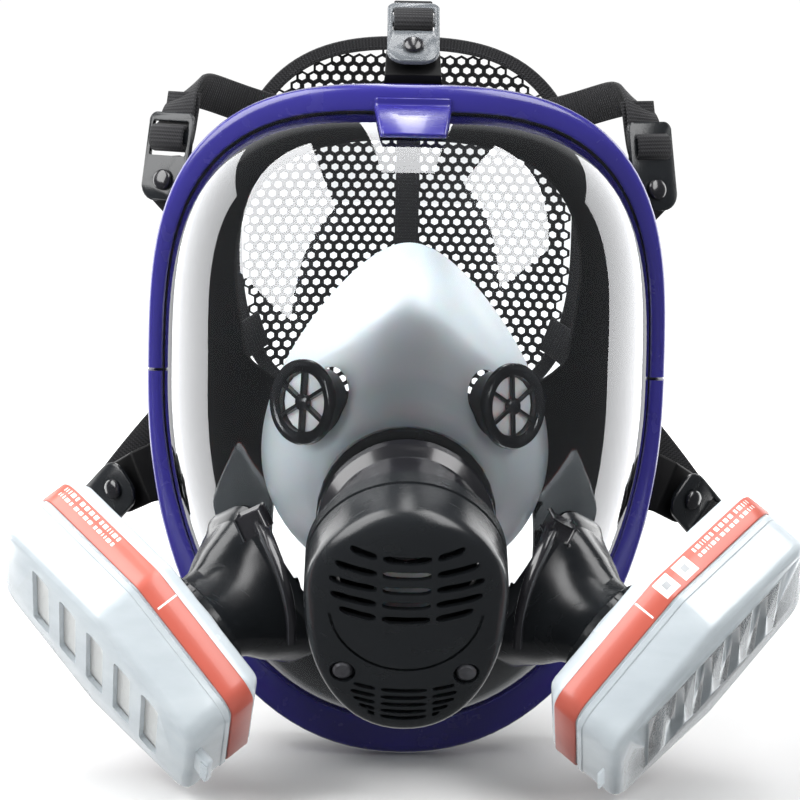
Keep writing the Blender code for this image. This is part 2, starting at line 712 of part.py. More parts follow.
def build_filter(label, side):
    """One cartridge with its label band, prefilter pad and clip-on retainer cap."""
    out, along, beside = filter_axes(side)
    port = mirrored(PORT, side)
    loops = [filter_loop(side, 6.0, 1.2), filter_loop(side, 0.6, 6.8),
             filter_loop(side, 0.6, BODY_THICK)]
    body = skin("cartridge_" + label, loops, "grey", origin=port)
    cavity = turned("cartridge_cavity_" + label, port, out, ((19.2, 4.0), (19.2, 10.0)), None, 28)
    mouth = turned("cartridge_mouth_" + label, port, out, ((15.1, -2), (15.1, 6.0)), None, 28)
    bolt_on(body, cavity)
    bolt_on(body, mouth)
    for step in range(3):
        turn = math.tau * (step + 0.42) / 3 + 0.5
        reach = along * math.cos(turn) + beside * math.sin(turn)
        notch = block("cartridge_notch_%s_%d" % (label, step), port + out * 2.0 + reach * 13.5,
                      (reach, out.cross(reach), out), (10.6, 10.6, 8.0))
        bolt_on(body, notch)
    loops = [filter_loop(side, 0.3, 7.6), filter_loop(side, -0.3, 7.6),
             filter_loop(side, -0.3, 17.4), filter_loop(side, 0.3, 17.4)]
    skin("label_band_" + label, loops, "label", wrap=True, origin=port)
    loops = [filter_loop(side, 3.4, BODY_THICK + 0.4), filter_loop(side, 3.4, CAP_FRONT - 2.4)]
    skin("prefilter_" + label, loops, "pad", origin=port)
    loops = [filter_loop(side, 2.6, CAP_BACK), filter_loop(side, -0.6, CAP_BACK),
             filter_loop(side, -0.2, CAP_FRONT - 3.0), filter_loop(side, 3.0, CAP_FRONT)]
    cap = skin("retainer_cap_" + label, loops, "clear", origin=port + out * CAP_BACK)
    inner = skin("cap_hollow_" + label, [filter_loop(side, 2.6, CAP_BACK - 4),
                                         filter_loop(side, 2.6, CAP_FRONT - 2.0)], None)
    bolt_on(cap, inner)
    for step in range(5):
        place = port + out * CAP_FRONT + along * (14 + (step - 2) * 15) - beside * 4
        slot = block("cap_slot_%s_%d" % (label, step), place, (along, beside, out), (9, 44, 12))
        bolt_on(cap, slot)
    tab = block("cap_tab_" + label, port + out * (CAP_FRONT - 4.0) - along * 40.0 + beside * 2,
                (along, beside, out), (9.0, 18.0, 3.0))
    bolt_on(cap, tab, "UNION")


# ---------------------------------------------------------------- buckles and harness


# Where each strap lies on the pad, as X and Z on the right or middle
PAD_JOINS = {"top": (0, 114), "upper": (50, 94), "lower": (57, 8)}


# Way each strap runs as it meets the pad, and its width direction there
STRAP_ARRIVALS = {
    "top": (Vector((0, 0.35, -0.9)), Vector((1, 0, 0))),
    "upper": (Vector((-0.9, 0.4, -0.2)), Vector((0, -0.226, 1))),
    "lower": (Vector((-0.75, 0.6, 0.35)), Vector((0, -0.02, 1))),
}


def curve_point(bends, share):
    """A point of the cubic curve with these four controls."""
    rest = 1.0 - share
    first, second, third, last = bends
    return (first * rest ** 3 + second * 3 * rest * rest * share
            + third * 3 * rest * share * share + last * share ** 3)


def pad_depth(x, z):
    """Y of the middle of the head pad."""
    drop = (z - PAD_CENTRE.z) / PAD_HALF_HEIGHT
    return PAD_CENTRE.y - 16.0 * (x / PAD_HALF_WIDTH) ** 2 - 9.0 * drop - 7.0 * drop * drop


def build_buckles():
    """A stud, a swivelling buckle with its strap loop, and the strap for each station."""
    for tag, stud, facing, leave in stations():
        across = facing.cross(leave).normalized()
        base = stud + facing * BUCKLE_LIFT
        under = -BUCKLE_LIFT - 3.7
        profile = ((4.0, under - 1.0), (4.0, under), (1.9, under), (1.9, 2.9), (3.6, 2.9),
                   (3.6, 3.9), (2.6, 4.6))
        turned("stud_" + tag, base, facing, profile, "steel", 12)
        middle = base + facing * (BUCKLE_THICK / 2)
        mesh_name = "buckle_" + tag
        corners = ((26, 9.75), (-8, 9.75), (-8, -9.75), (26, -9.75))
        outline = rounded(corners, 3.0, 0.0, 2)
        loops = [[middle + leave * p.x + across * p.y + facing * lift for p in outline]
                 for lift in (-BUCKLE_THICK / 2, BUCKLE_THICK / 2)]
        plate = skin(mesh_name, loops, "black", origin=base)
        hole = turned("buckle_hole_" + tag, base, facing, ((2.3, -4), (2.3, 6)), None, 12)
        bolt_on(plate, hole)
        for step, (start, end) in enumerate(((9.4, 14.2), (18.6, 22.6))):
            slot = block("buckle_slot_%s_%d" % (tag, step),
                         middle + leave * (start + end) / 2,
                         (leave, across, facing), (end - start, 15.6, 6))
            bolt_on(plate, slot)
        loops = []
        for half in (STRAP_WIDTH / 2, -STRAP_WIDTH / 2):
            loops.append([(12.0, 3.6), (20.9, 3.6), (20.9, -3.6), (12.0, -3.6)])
        ring = []
        for along, lift in ((12.0, 3.2), (20.9, 3.2), (20.9, -3.2), (12.0, -3.2)):
            outer = middle + leave * along + facing * lift
            inner = middle + leave * mixed(along, 16.45, 0.36) + facing * lift * 0.52
            wide = across * STRAP_WIDTH / 2
            ring.append([outer + wide, outer - wide, inner - wide, inner + wide])
        skin("strap_loop_" + tag, ring, "web", wrap=True, origin=base)
        x, z = PAD_JOINS[tag.split("_")[0]]
        x = math.copysign(x, stud.x) if x else 0.0
        end = Vector((x, pad_depth(x, z) - 2.2, z))
        arrive, flat = STRAP_ARRIVALS[tag.split("_")[0]]
        arrive = mirrored(arrive, math.copysign(1.0, stud.x)).normalized()
        flat = flat if flat.dot(across) >= 0 else -flat
        start = middle + leave * 23.1 - facing * 2.9
        reach, come = (12.0, 16.0) if tag == "top" else (22.0, 34.0)
        bends = (start, start + leave * reach, end - arrive * come, end)
        places = [curve_point(bends, step / 9) for step in range(10)]
        sides = [across.lerp(flat, min(step / 6, 1.0)) for step in range(10)]
        sweep("strap_" + tag, places, sides, STRAP_WIDTH, 1.8, "web")


def build_pad():
    """The head pad: a thin domed sheet behind the head."""
    shares = (1.0, 0.76, 0.42)
    count = 28
    fronts, backs = [], []
    for share in shares:
        front, back = [], []
        for step in range(count):
            turn = math.tau * step / count
            radius = (abs(math.cos(turn) / PAD_HALF_WIDTH) ** PAD_SQUARENESS
                      + abs(math.sin(turn) / PAD_HALF_HEIGHT) ** PAD_SQUARENESS)
            radius = radius ** (-1 / PAD_SQUARENESS) * share
            x, z = radius * math.cos(turn), PAD_CENTRE.z + radius * math.sin(turn)
            front.append(Vector((x, pad_depth(x, z), z)))
            back.append(Vector((x, pad_depth(x, z) + PAD_THICK, z)))
        fronts.append(front)
        backs.append(back)
    middle = Vector((0, pad_depth(0, PAD_CENTRE.z), PAD_CENTRE.z))
    loops = list(reversed(fronts)) + backs
    skin("harness_pad", loops, "web",
         poles=(middle, middle + Vector((0, PAD_THICK, 0))))


def main():
    clear_scene()
    build_visor()
    build_frame()
    build_seal()
    build_nose_cup()
    build_cover()
    build_centre()
    for label, side in SIDES:
        build_port(label, side)
        build_filter(label, side)
    build_buckles()
    build_pad()


main()
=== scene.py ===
"""Visual model of a full face respirator with two bayonet filters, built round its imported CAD.

Lengths in the classes are millimetres. X runs right seen from the front, Y from the front to
the wearer and Z up, with the origin at the centre of the face opening.
"""

import logging
import math
from dataclasses import dataclass, field
from enum import Enum
from typing import Any, Callable, Iterable, Iterator, Sequence

import bmesh
import bpy
from mathutils import Matrix, Vector


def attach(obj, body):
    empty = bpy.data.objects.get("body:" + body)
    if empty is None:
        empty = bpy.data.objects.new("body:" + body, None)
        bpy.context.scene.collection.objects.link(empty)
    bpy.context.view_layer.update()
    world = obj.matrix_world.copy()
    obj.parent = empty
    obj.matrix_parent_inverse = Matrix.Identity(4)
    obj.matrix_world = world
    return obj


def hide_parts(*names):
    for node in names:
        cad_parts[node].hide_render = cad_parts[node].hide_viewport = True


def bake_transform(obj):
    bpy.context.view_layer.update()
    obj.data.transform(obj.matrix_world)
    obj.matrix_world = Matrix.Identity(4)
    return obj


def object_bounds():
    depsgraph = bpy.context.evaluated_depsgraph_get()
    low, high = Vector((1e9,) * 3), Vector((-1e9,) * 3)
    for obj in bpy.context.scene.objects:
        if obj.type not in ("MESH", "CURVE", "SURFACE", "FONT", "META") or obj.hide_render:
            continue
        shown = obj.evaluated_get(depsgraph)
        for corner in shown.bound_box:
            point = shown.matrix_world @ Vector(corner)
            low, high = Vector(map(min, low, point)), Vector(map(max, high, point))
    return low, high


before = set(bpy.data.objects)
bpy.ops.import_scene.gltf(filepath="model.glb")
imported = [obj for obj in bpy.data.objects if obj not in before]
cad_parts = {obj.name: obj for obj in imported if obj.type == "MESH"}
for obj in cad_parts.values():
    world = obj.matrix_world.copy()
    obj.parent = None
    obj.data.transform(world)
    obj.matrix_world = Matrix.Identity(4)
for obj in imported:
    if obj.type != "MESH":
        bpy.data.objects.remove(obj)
CAD_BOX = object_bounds()
LOG = logging.getLogger("respirator")

MM = 0.001
RIGHT = Vector((1.0, 0.0, 0.0))
BACK = Vector((0.0, 1.0, 0.0))
UP = Vector((0.0, 0.0, 1.0))
SIDES = (("left", -1.0), ("right", 1.0))
Colour = tuple[float, float, float]
Loop = list[Vector]


# ------------------------------------------------------------------ shader and geometry nodes


class Sock:
    """A node's output that adds Math nodes when arithmetic is done on it."""

    def __init__(self, bench: "Bench", socket: bpy.types.NodeSocket) -> None:
        """Keeps the socket and the bench it belongs to."""
        self.bench = bench
        self.socket = socket

    def _math(self, operation: str, first: Any, second: Any = 0.0) -> "Sock":
        """One Math node of this operation on two values."""
        return self.bench.add("ShaderNodeMath", {"operation": operation}, {0: first, 1: second})

    def __add__(self, other: Any) -> "Sock":
        """Sum."""
        return self._math("ADD", self, other)

    __radd__ = __add__

    def __sub__(self, other: Any) -> "Sock":
        """Difference."""
        return self._math("SUBTRACT", self, other)

    def __rsub__(self, other: Any) -> "Sock":
        """Difference from a plain number."""
        return self._math("SUBTRACT", other, self)

    def __mul__(self, other: Any) -> "Sock":
        """Product."""
        return self._math("MULTIPLY", self, other)

    __rmul__ = __mul__

    def __truediv__(self, other: Any) -> "Sock":
        """Quotient."""
        return self._math("DIVIDE", self, other)

    def over(self, limit: Any) -> "Sock":
        """1 where this is greater than the limit."""
        return self._math("GREATER_THAN", self, limit)

    def under(self, limit: Any) -> "Sock":
        """1 where this is less than the limit."""
        return self._math("LESS_THAN", self, limit)

    def sine(self) -> "Sock":
        """Sine of this."""
        return self._math("SINE", self)

    def size(self) -> "Sock":
        """This without its sign."""
        return self._math("ABSOLUTE", self)

    def rest(self) -> "Sock":
        """What is left over after whole numbers."""
        return self._math("FRACT", self)


class Bench:
    """A node tree under construction."""

    def __init__(self, tree: bpy.types.NodeTree) -> None:
        """Keeps the tree."""
        self.tree = tree

    def add(self, kind: str, settings: dict[str, Any] | None = None,
            inputs: dict[Any, Any] | None = None, out: int | str = 0) -> Sock | None:
        """Adds a node.

        Args:
            kind: the node's type name.
            settings: its properties, set first; stops is a colour ramp's list.
            inputs: values or links of its sockets.
            out: which output is wanted.

        Returns:
            The output, ready for arithmetic.
        """
        node = self.tree.nodes.new(kind)
        for key, value in (settings or {}).items():
            if key == "stops":
                ramp = node.color_ramp.elements
                while len(ramp) < len(value):
                    ramp.new(0.5)
                for element, (place, colour) in zip(ramp, value):
                    element.position = place
                    element.color = (*colour, 1.0) if len(colour) == 3 else colour
            else:
                setattr(node, key, value)
        for key, value in (inputs or {}).items():
            self.feed(node.inputs[key], value)
        return Sock(self, node.outputs[out]) if len(node.outputs) else None

    def feed(self, target: bpy.types.NodeSocket, value: Any) -> None:
        """Links a Sock to a socket, or sets a plain value on it."""
        if isinstance(value, Sock):
            self.tree.links.new(value.socket, target)
        elif isinstance(value, tuple) and len(value) == 3 and target.type == "RGBA":
            target.default_value = (*value, 1.0)
        else:
            target.default_value = value

    def blend(self, share: Any, first: Any, second: Any) -> Sock:
        """A colour mixed from two by share."""
        return self.add("ShaderNodeMix", {"data_type": "RGBA"},
                        {"Factor": share, "A": first, "B": second}, "Result")

    def spots(self, scale: float, detail: float = 2.0, stretch: Colour = (1, 1, 1)) -> Sock:
        """Noise on the object's own coordinates, with this many features a metre."""
        place = self.add("ShaderNodeTexCoord", out="Object")
        moved = self.add("ShaderNodeMapping", {}, {"Vector": place, "Scale": stretch})
        return self.add("ShaderNodeTexNoise", {}, {"Vector": moved, "Scale": scale,
                                                   "Detail": detail}, "Fac")

    def bump(self, height: Any, strength: float, distance: float) -> Sock:
        """A normal from a height."""
        return self.add("ShaderNodeBump", {}, {"Height": height, "Strength": strength,
                                               "Distance": distance}, "Normal")

    def surface(self, **inputs: Any) -> Sock:
        """A Principled shader with these sockets, spaces written as underscores."""
        named = {key.replace("_", " "): value for key, value in inputs.items()}
        return self.add("ShaderNodeBsdfPrincipled", {}, named)

    def close(self, shader: Sock) -> None:
        """Ends a material with its shader."""
        self.add("ShaderNodeOutputMaterial", {}, {"Surface": shader})


@dataclass(frozen=True)
class Finish:
    """What every finish has: the name of its material."""

    name: str

    def paint(self, bench: Bench) -> Sock:
        """The shader of this finish."""
        raise NotImplementedError

    def material(self) -> bpy.types.Material:
        """The material of this finish, made once."""
        found = bpy.data.materials.get(self.name)
        if found:
            return found
        made = bpy.data.materials.new(self.name)
        made.use_nodes = True
        made.node_tree.nodes.clear()
        bench = Bench(made.node_tree)
        bench.close(self.paint(bench))
        return made


@dataclass(frozen=True)
class MouldedPlastic(Finish):
    """Injection-moulded plastic with a fine spark grain, cloudy gloss and faint scuffs."""

    colour: Colour
    shade: Colour
    gloss: float = 0.3
    grain: float = 2600.0
    depth: float = 0.00006
    coat: float = 0.0
    shine: float = 0.35

    def paint(self, bench: Bench) -> Sock:
        """Two close shades in clouds, a fine grain and long faint scuffs."""
        clouds = bench.spots(24.0, 3.0)
        grain = bench.spots(self.grain, 1.0)
        scuffs = bench.spots(90.0, 4.0, (1.0, 5.0, 1.0))
        mask = bench.add("ShaderNodeValToRGB", {"stops": [(0.56, (0, 0, 0)), (0.72, (1, 1, 1))]},
                         {"Fac": scuffs})
        colour = bench.blend(clouds, self.colour, self.shade)
        rough = clouds * 0.12 + (self.gloss - 0.06) + mask * 0.10
        return bench.surface(Base_Color=colour, Roughness=rough, Coat_Weight=self.coat,
                             Coat_Roughness=0.08, Specular_IOR_Level=self.shine,
                             Normal=bench.bump(grain, 0.35, self.depth))


@dataclass(frozen=True)
class SoftRubber(Finish):
    """Matt moulded rubber with a dusty bloom."""

    colour: Colour
    bloom: Colour
    gloss: float = 0.5

    def paint(self, bench: Bench) -> Sock:
        """A dark colour with a pale bloom in patches and a skin-like grain."""
        patches = bench.spots(40.0, 5.0)
        dust = bench.add("ShaderNodeValToRGB", {"stops": [(0.45, (0, 0, 0)), (0.8, (1, 1, 1))]},
                         {"Fac": patches})
        colour = bench.blend(dust * 0.55, self.colour, self.bloom)
        cells = bench.add("ShaderNodeTexVoronoi", {},
                          {"Vector": bench.add("ShaderNodeTexCoord", out="Object"),
                           "Scale": 1500.0}, "Distance")
        return bench.surface(Base_Color=colour, Roughness=patches * 0.2 + (self.gloss - 0.1),
                             Specular_IOR_Level=0.08, Normal=bench.bump(cells, 0.12, 0.00004))


@dataclass(frozen=True)
class Silicone(Finish):
    """Milky translucent silicone with a satin skin."""

    colour: Colour
    deep: Colour
    gloss: float = 0.36
    scatter: float = 0.35
    cover: float = 1.0

    def paint(self, bench: Bench) -> Sock:
        """Soft clouding in the mass, light carried a few millimetres, and a satin grain."""
        clouds = bench.spots(30.0, 2.0)
        grain = bench.spots(1800.0, 1.0)
        colour = bench.blend(clouds, self.colour, self.deep)
        return bench.surface(Base_Color=colour, Roughness=clouds * 0.14 + (self.gloss - 0.07),
                             Subsurface_Weight=self.scatter, Subsurface_Scale=0.004,
                             Alpha=self.cover, Normal=bench.bump(grain, 0.25, 0.00008))


@dataclass(frozen=True)
class ClearSheet(Finish):
    """Hard-coated clear polycarbonate: see-through face on, mirror-like at a slant."""

    tint: Colour
    index: float = 1.5

    def paint(self, bench: Bench) -> Sock:
        """Transparent and glossy, shared by angle, with faint wipe marks in the gloss."""
        wipes = bench.spots(60.0, 4.0, (1.0, 1.0, 6.0))
        facing = bench.add("ShaderNodeFresnel", {}, {"IOR": self.index})
        through = bench.add("ShaderNodeBsdfTransparent", {}, {"Color": self.tint})
        gloss = bench.add("ShaderNodeBsdfGlossy", {},
                          {"Color": (0.97, 0.98, 1.0), "Roughness": wipes * 0.05 + 0.0})
        return bench.add("ShaderNodeMixShader", {}, {0: facing, 1: through, 2: gloss})


@dataclass(frozen=True)
class ClearInside(Finish):
    """The clear sheet's inner face, which is seen through from outside."""

    tint: Colour

    def paint(self, bench: Bench) -> Sock:
        """Transparent with a trace of soft gloss that fades in breath marks."""
        marks = bench.spots(25.0, 3.0)
        through = bench.add("ShaderNodeBsdfTransparent", {}, {"Color": self.tint})
        gloss = bench.add("ShaderNodeBsdfGlossy", {}, {"Color": (0.9, 0.92, 0.95),
                                                       "Roughness": 0.2})
        return bench.add("ShaderNodeMixShader", {}, {0: marks * 0.02, 1: through, 2: gloss})


@dataclass(frozen=True)
class MilkyPlastic(Finish):
    """Thin translucent polypropylene: part seen through, part milky, glossy at a slant."""

    colour: Colour
    pale: Colour
    body: float = 0.5
    gloss: float = 0.2

    def paint(self, bench: Bench) -> Sock:
        """A milky skin whose thickness varies, with flow marks and a moulded grain."""
        flow = bench.spots(35.0, 3.0, (1.0, 1.0, 3.0))
        grain = bench.spots(1500.0, 1.0)
        slant = bench.add("ShaderNodeLayerWeight", {}, {"Blend": 0.35}, "Facing")
        cover = slant * 0.35 + flow * 0.1 + (self.body - 0.05)
        return bench.surface(Base_Color=bench.blend(flow, self.colour, self.pale),
                             Roughness=flow * 0.12 + (self.gloss - 0.06), Alpha=cover,
                             Normal=bench.bump(grain, 0.2, 0.00006))


@dataclass(frozen=True)
class Webbing(Finish):
    """Flat woven strap: ribs across, warp ends along, on the strap's own map in metres."""

    colour: Colour
    # paler colour: painted highlight on the raised threads, mixed with real fuzz
    lint_and_highlight: Colour
    rib: float = 0.0013
    end: float = 0.0011

    def paint(self, bench: Bench) -> Sock:
        """Crossed waves of threads, the raised ones lighter by a painted highlight, with fuzz."""
        place = bench.add("ShaderNodeUVMap", {"uv_map": "cloth"})
        split = bench.add("ShaderNodeSeparateXYZ", {}, {"Vector": place})
        across, along = split, Sock(bench, split.socket.node.outputs["Y"])
        ribs = (along * (math.tau / self.rib)).sine()
        ends = (across * (math.tau / self.end)).sine()
        raised = ribs * ends * 0.35 + ribs * 0.35 + 0.5
        fuzz = bench.spots(1200.0, 3.0)
        # painted highlight: raised threads mixed towards the paler colour, plus real fuzz at
        # random
        colour = bench.blend(raised * 0.7 + fuzz * 0.3, self.colour, self.lint_and_highlight)
        return bench.surface(Base_Color=colour, Roughness=0.92 - raised * 0.18,
                             Sheen_Weight=0.06, Sheen_Roughness=0.5, Specular_IOR_Level=0.15,
                             Normal=bench.bump(raised + fuzz * 0.4, 0.7, 0.00025))


@dataclass(frozen=True)
class KnitThread(Finish):
    """Knitted net yarn with twist and lint."""

    colour: Colour
    # paler colour: painted highlight where the strands stand out, mixed with real lint
    lint_and_highlight: Colour

    def paint(self, bench: Bench) -> Sock:
        """Twisted strands a third of a millimetre apart, paler where they stand out by a painted
        highlight, with real lint.
        """
        place = bench.add("ShaderNodeTexCoord", out="Object")
        strands = bench.add("ShaderNodeTexWave", {"bands_direction": "DIAGONAL"},
                            {"Vector": place, "Scale": 900.0, "Distortion": 3.0,
                             "Detail": 2.0, "Detail Scale": 2.0}, "Fac")
        lint = bench.spots(900.0, 4.0)
        # painted highlight on the raised strands, plus real lint at random
        colour = bench.blend(strands * 0.6 + lint * 0.4, self.colour, self.lint_and_highlight)
        return bench.surface(Base_Color=colour, Roughness=0.95 - lint * 0.15,
                             Sheen_Weight=0.03, Specular_IOR_Level=0.1,
                             Normal=bench.bump(strands + lint * 0.5, 0.6, 0.00015))


@dataclass(frozen=True)
class Felt(Finish):
    """Bonded fibre pad."""

    colour: Colour
    shade: Colour

    def paint(self, bench: Bench) -> Sock:
        """Long fibres at two angles over a cloudy mass."""
        long = bench.spots(700.0, 5.0, (1.0, 0.25, 1.0))
        cross = bench.spots(600.0, 5.0, (0.25, 1.0, 1.0))
        mass = bench.spots(45.0, 3.0)
        fibres = long * 0.5 + cross * 0.5
        colour = bench.blend(fibres * 0.6 + mass * 0.4, self.shade, self.colour)
        return bench.surface(Base_Color=colour, Roughness=fibres * 0.1 + 0.85,
                             Normal=bench.bump(fibres, 0.8, 0.0004))


@dataclass(frozen=True)
class WornSteel(Finish):
    """Turned or pressed steel with drawn lines and dulled patches."""

    colour: Colour
    gloss: float = 0.28

    def paint(self, bench: Bench) -> Sock:
        """Fine drawn lines, and patches that have lost their polish."""
        lines = bench.spots(2200.0, 2.0, (1.0, 1.0, 0.08))
        dull = bench.spots(180.0, 4.0)
        colour = bench.blend(dull, self.colour, (0.30, 0.30, 0.32))
        return bench.surface(Base_Color=colour, Metallic=0.95,
                             Roughness=dull * 0.22 + (self.gloss - 0.1) + lines * 0.08,
                             Normal=bench.bump(lines, 0.15, 0.00005))


@dataclass(frozen=True)
class PrintedFilm(Finish):
    """Printed label film: a warm red ground with plain white rules and dashes, no lettering."""

    colour: Colour
    shade: Colour
    squares: bool

    def paint(self, bench: Bench) -> Sock:
        """The ground, a long thin rule, two rows of plain dashes and, if asked, two squares."""
        place = bench.add("ShaderNodeUVMap", {"uv_map": "cloth"})
        split = bench.add("ShaderNodeSeparateXYZ", {}, {"Vector": place})
        around, across = split, Sock(bench, split.socket.node.outputs["Y"])
        tone = bench.spots(50.0, 3.0)
        ground = bench.blend(tone, self.colour, self.shade)

        def between(value: Sock, low: float, high: float) -> Sock:
            """1 where the value is between two limits."""
            return value.over(low) * value.under(high)

        dash = (around * 390.0).rest().under(0.68)
        long_dash = (around * 173.0).rest().under(0.83)
        rows = between(across, 0.0016, 0.0033) + between(across, 0.0046, 0.0060)
        print_run = between(around, 0.009, 0.040) + between(around, 0.236, 0.262)
        mask = rows * dash * long_dash * print_run
        mask = mask + between(around, 0.0685, 0.0692) * between(across, 0.0008, 0.0090)
        if self.squares:
            for middle in (0.0470, 0.0570):
                mask = mask + (between(around, middle - 0.0036, middle + 0.0036)
                               * between(across, 0.0014, 0.0086))
        white = bench.blend(mask, ground, (0.60, 0.60, 0.59))
        if self.squares:
            dot = None
            for middle in (0.0470, 0.0570):
                spot = (between(around, middle - 0.0014, middle + 0.0014)
                        * between(across, 0.0036, 0.0064))
                dot = spot if dot is None else dot + spot
            white = bench.blend(dot, white, (0.20, 0.21, 0.22))
        grain = bench.spots(900.0, 2.0)
        return bench.surface(Base_Color=white, Roughness=tone * 0.1 + 0.38,
                             Coat_Weight=0.15, Normal=bench.bump(grain, 0.12, 0.00005))


class Finishes:
    """The finishes of this respirator."""

    FRAME = MouldedPlastic("frame_violet", (0.020, 0.017, 0.150), (0.014, 0.011, 0.105), 0.24,
                           2400.0, 0.00004, 0.3)
    BLACK = MouldedPlastic("black_housing", (0.006, 0.0068, 0.0078), (0.009, 0.0102, 0.0115), 0.22,
                           2600.0, 0.00008, 0.0, 0.32)
    GLOSS = MouldedPlastic("black_gloss", (0.006, 0.006, 0.007), (0.010, 0.010, 0.012), 0.18,
                           2600.0, 0.00002, 0.3)
    SMOKE = MilkyPlastic("smoked_buckle", (0.050, 0.055, 0.062), (0.10, 0.11, 0.12), 0.72, 0.25)
    RUBBER = SoftRubber("seal_rubber", (0.002, 0.002, 0.0022), (0.004, 0.004, 0.0045), 0.40)
    GASKET = SoftRubber("gasket_rubber", (0.012, 0.012, 0.013), (0.03, 0.03, 0.03), 0.6)
    CUP = Silicone("cup_silicone", (0.50, 0.54, 0.56), (0.42, 0.465, 0.485), 0.36, 0.3)
    FLAP = Silicone("flap_silicone", (0.72, 0.73, 0.73), (0.62, 0.63, 0.64), 0.4, 0.25)
    VISOR = ClearSheet("visor_clear", (0.95, 0.965, 0.975), 1.72)
    VISOR_INSIDE = ClearInside("visor_inside", (0.985, 0.99, 0.995))
    BODY = MilkyPlastic("cartridge_body", (0.36, 0.40, 0.43), (0.46, 0.50, 0.52), 0.92, 0.26)
    CAP = MilkyPlastic("cap_clear", (0.34, 0.38, 0.41), (0.44, 0.48, 0.50), 0.56, 0.16)
    FELT = Felt("prefilter_felt", (0.42, 0.43, 0.42), (0.34, 0.35, 0.355))
    STEEL = WornSteel("turned_steel", (0.52, 0.52, 0.54))
    DARK_STEEL = WornSteel("dark_screw", (0.05, 0.05, 0.055), 0.35)
    # WEB, NET and THREAD: the second colour is a painted highlight on raised threads, mixed with
    # real fuzz and lint
    WEB = Webbing("strap_webbing", (0.004, 0.004, 0.0045), (0.018, 0.018, 0.0195))
    NET = KnitThread("net_yarn", (0.003, 0.003, 0.0035), (0.014, 0.014, 0.015))
    THREAD = KnitThread("stitch_thread", (0.010, 0.010, 0.011), (0.035, 0.035, 0.038))
    FILM = PrintedFilm("label_film", (0.33, 0.060, 0.038), (0.27, 0.046, 0.029), False)
    FILM_MARKED = PrintedFilm("label_film_marked", (0.33, 0.060, 0.038),
                              (0.27, 0.046, 0.029), True)


# ------------------------------------------------------------------ mesh building


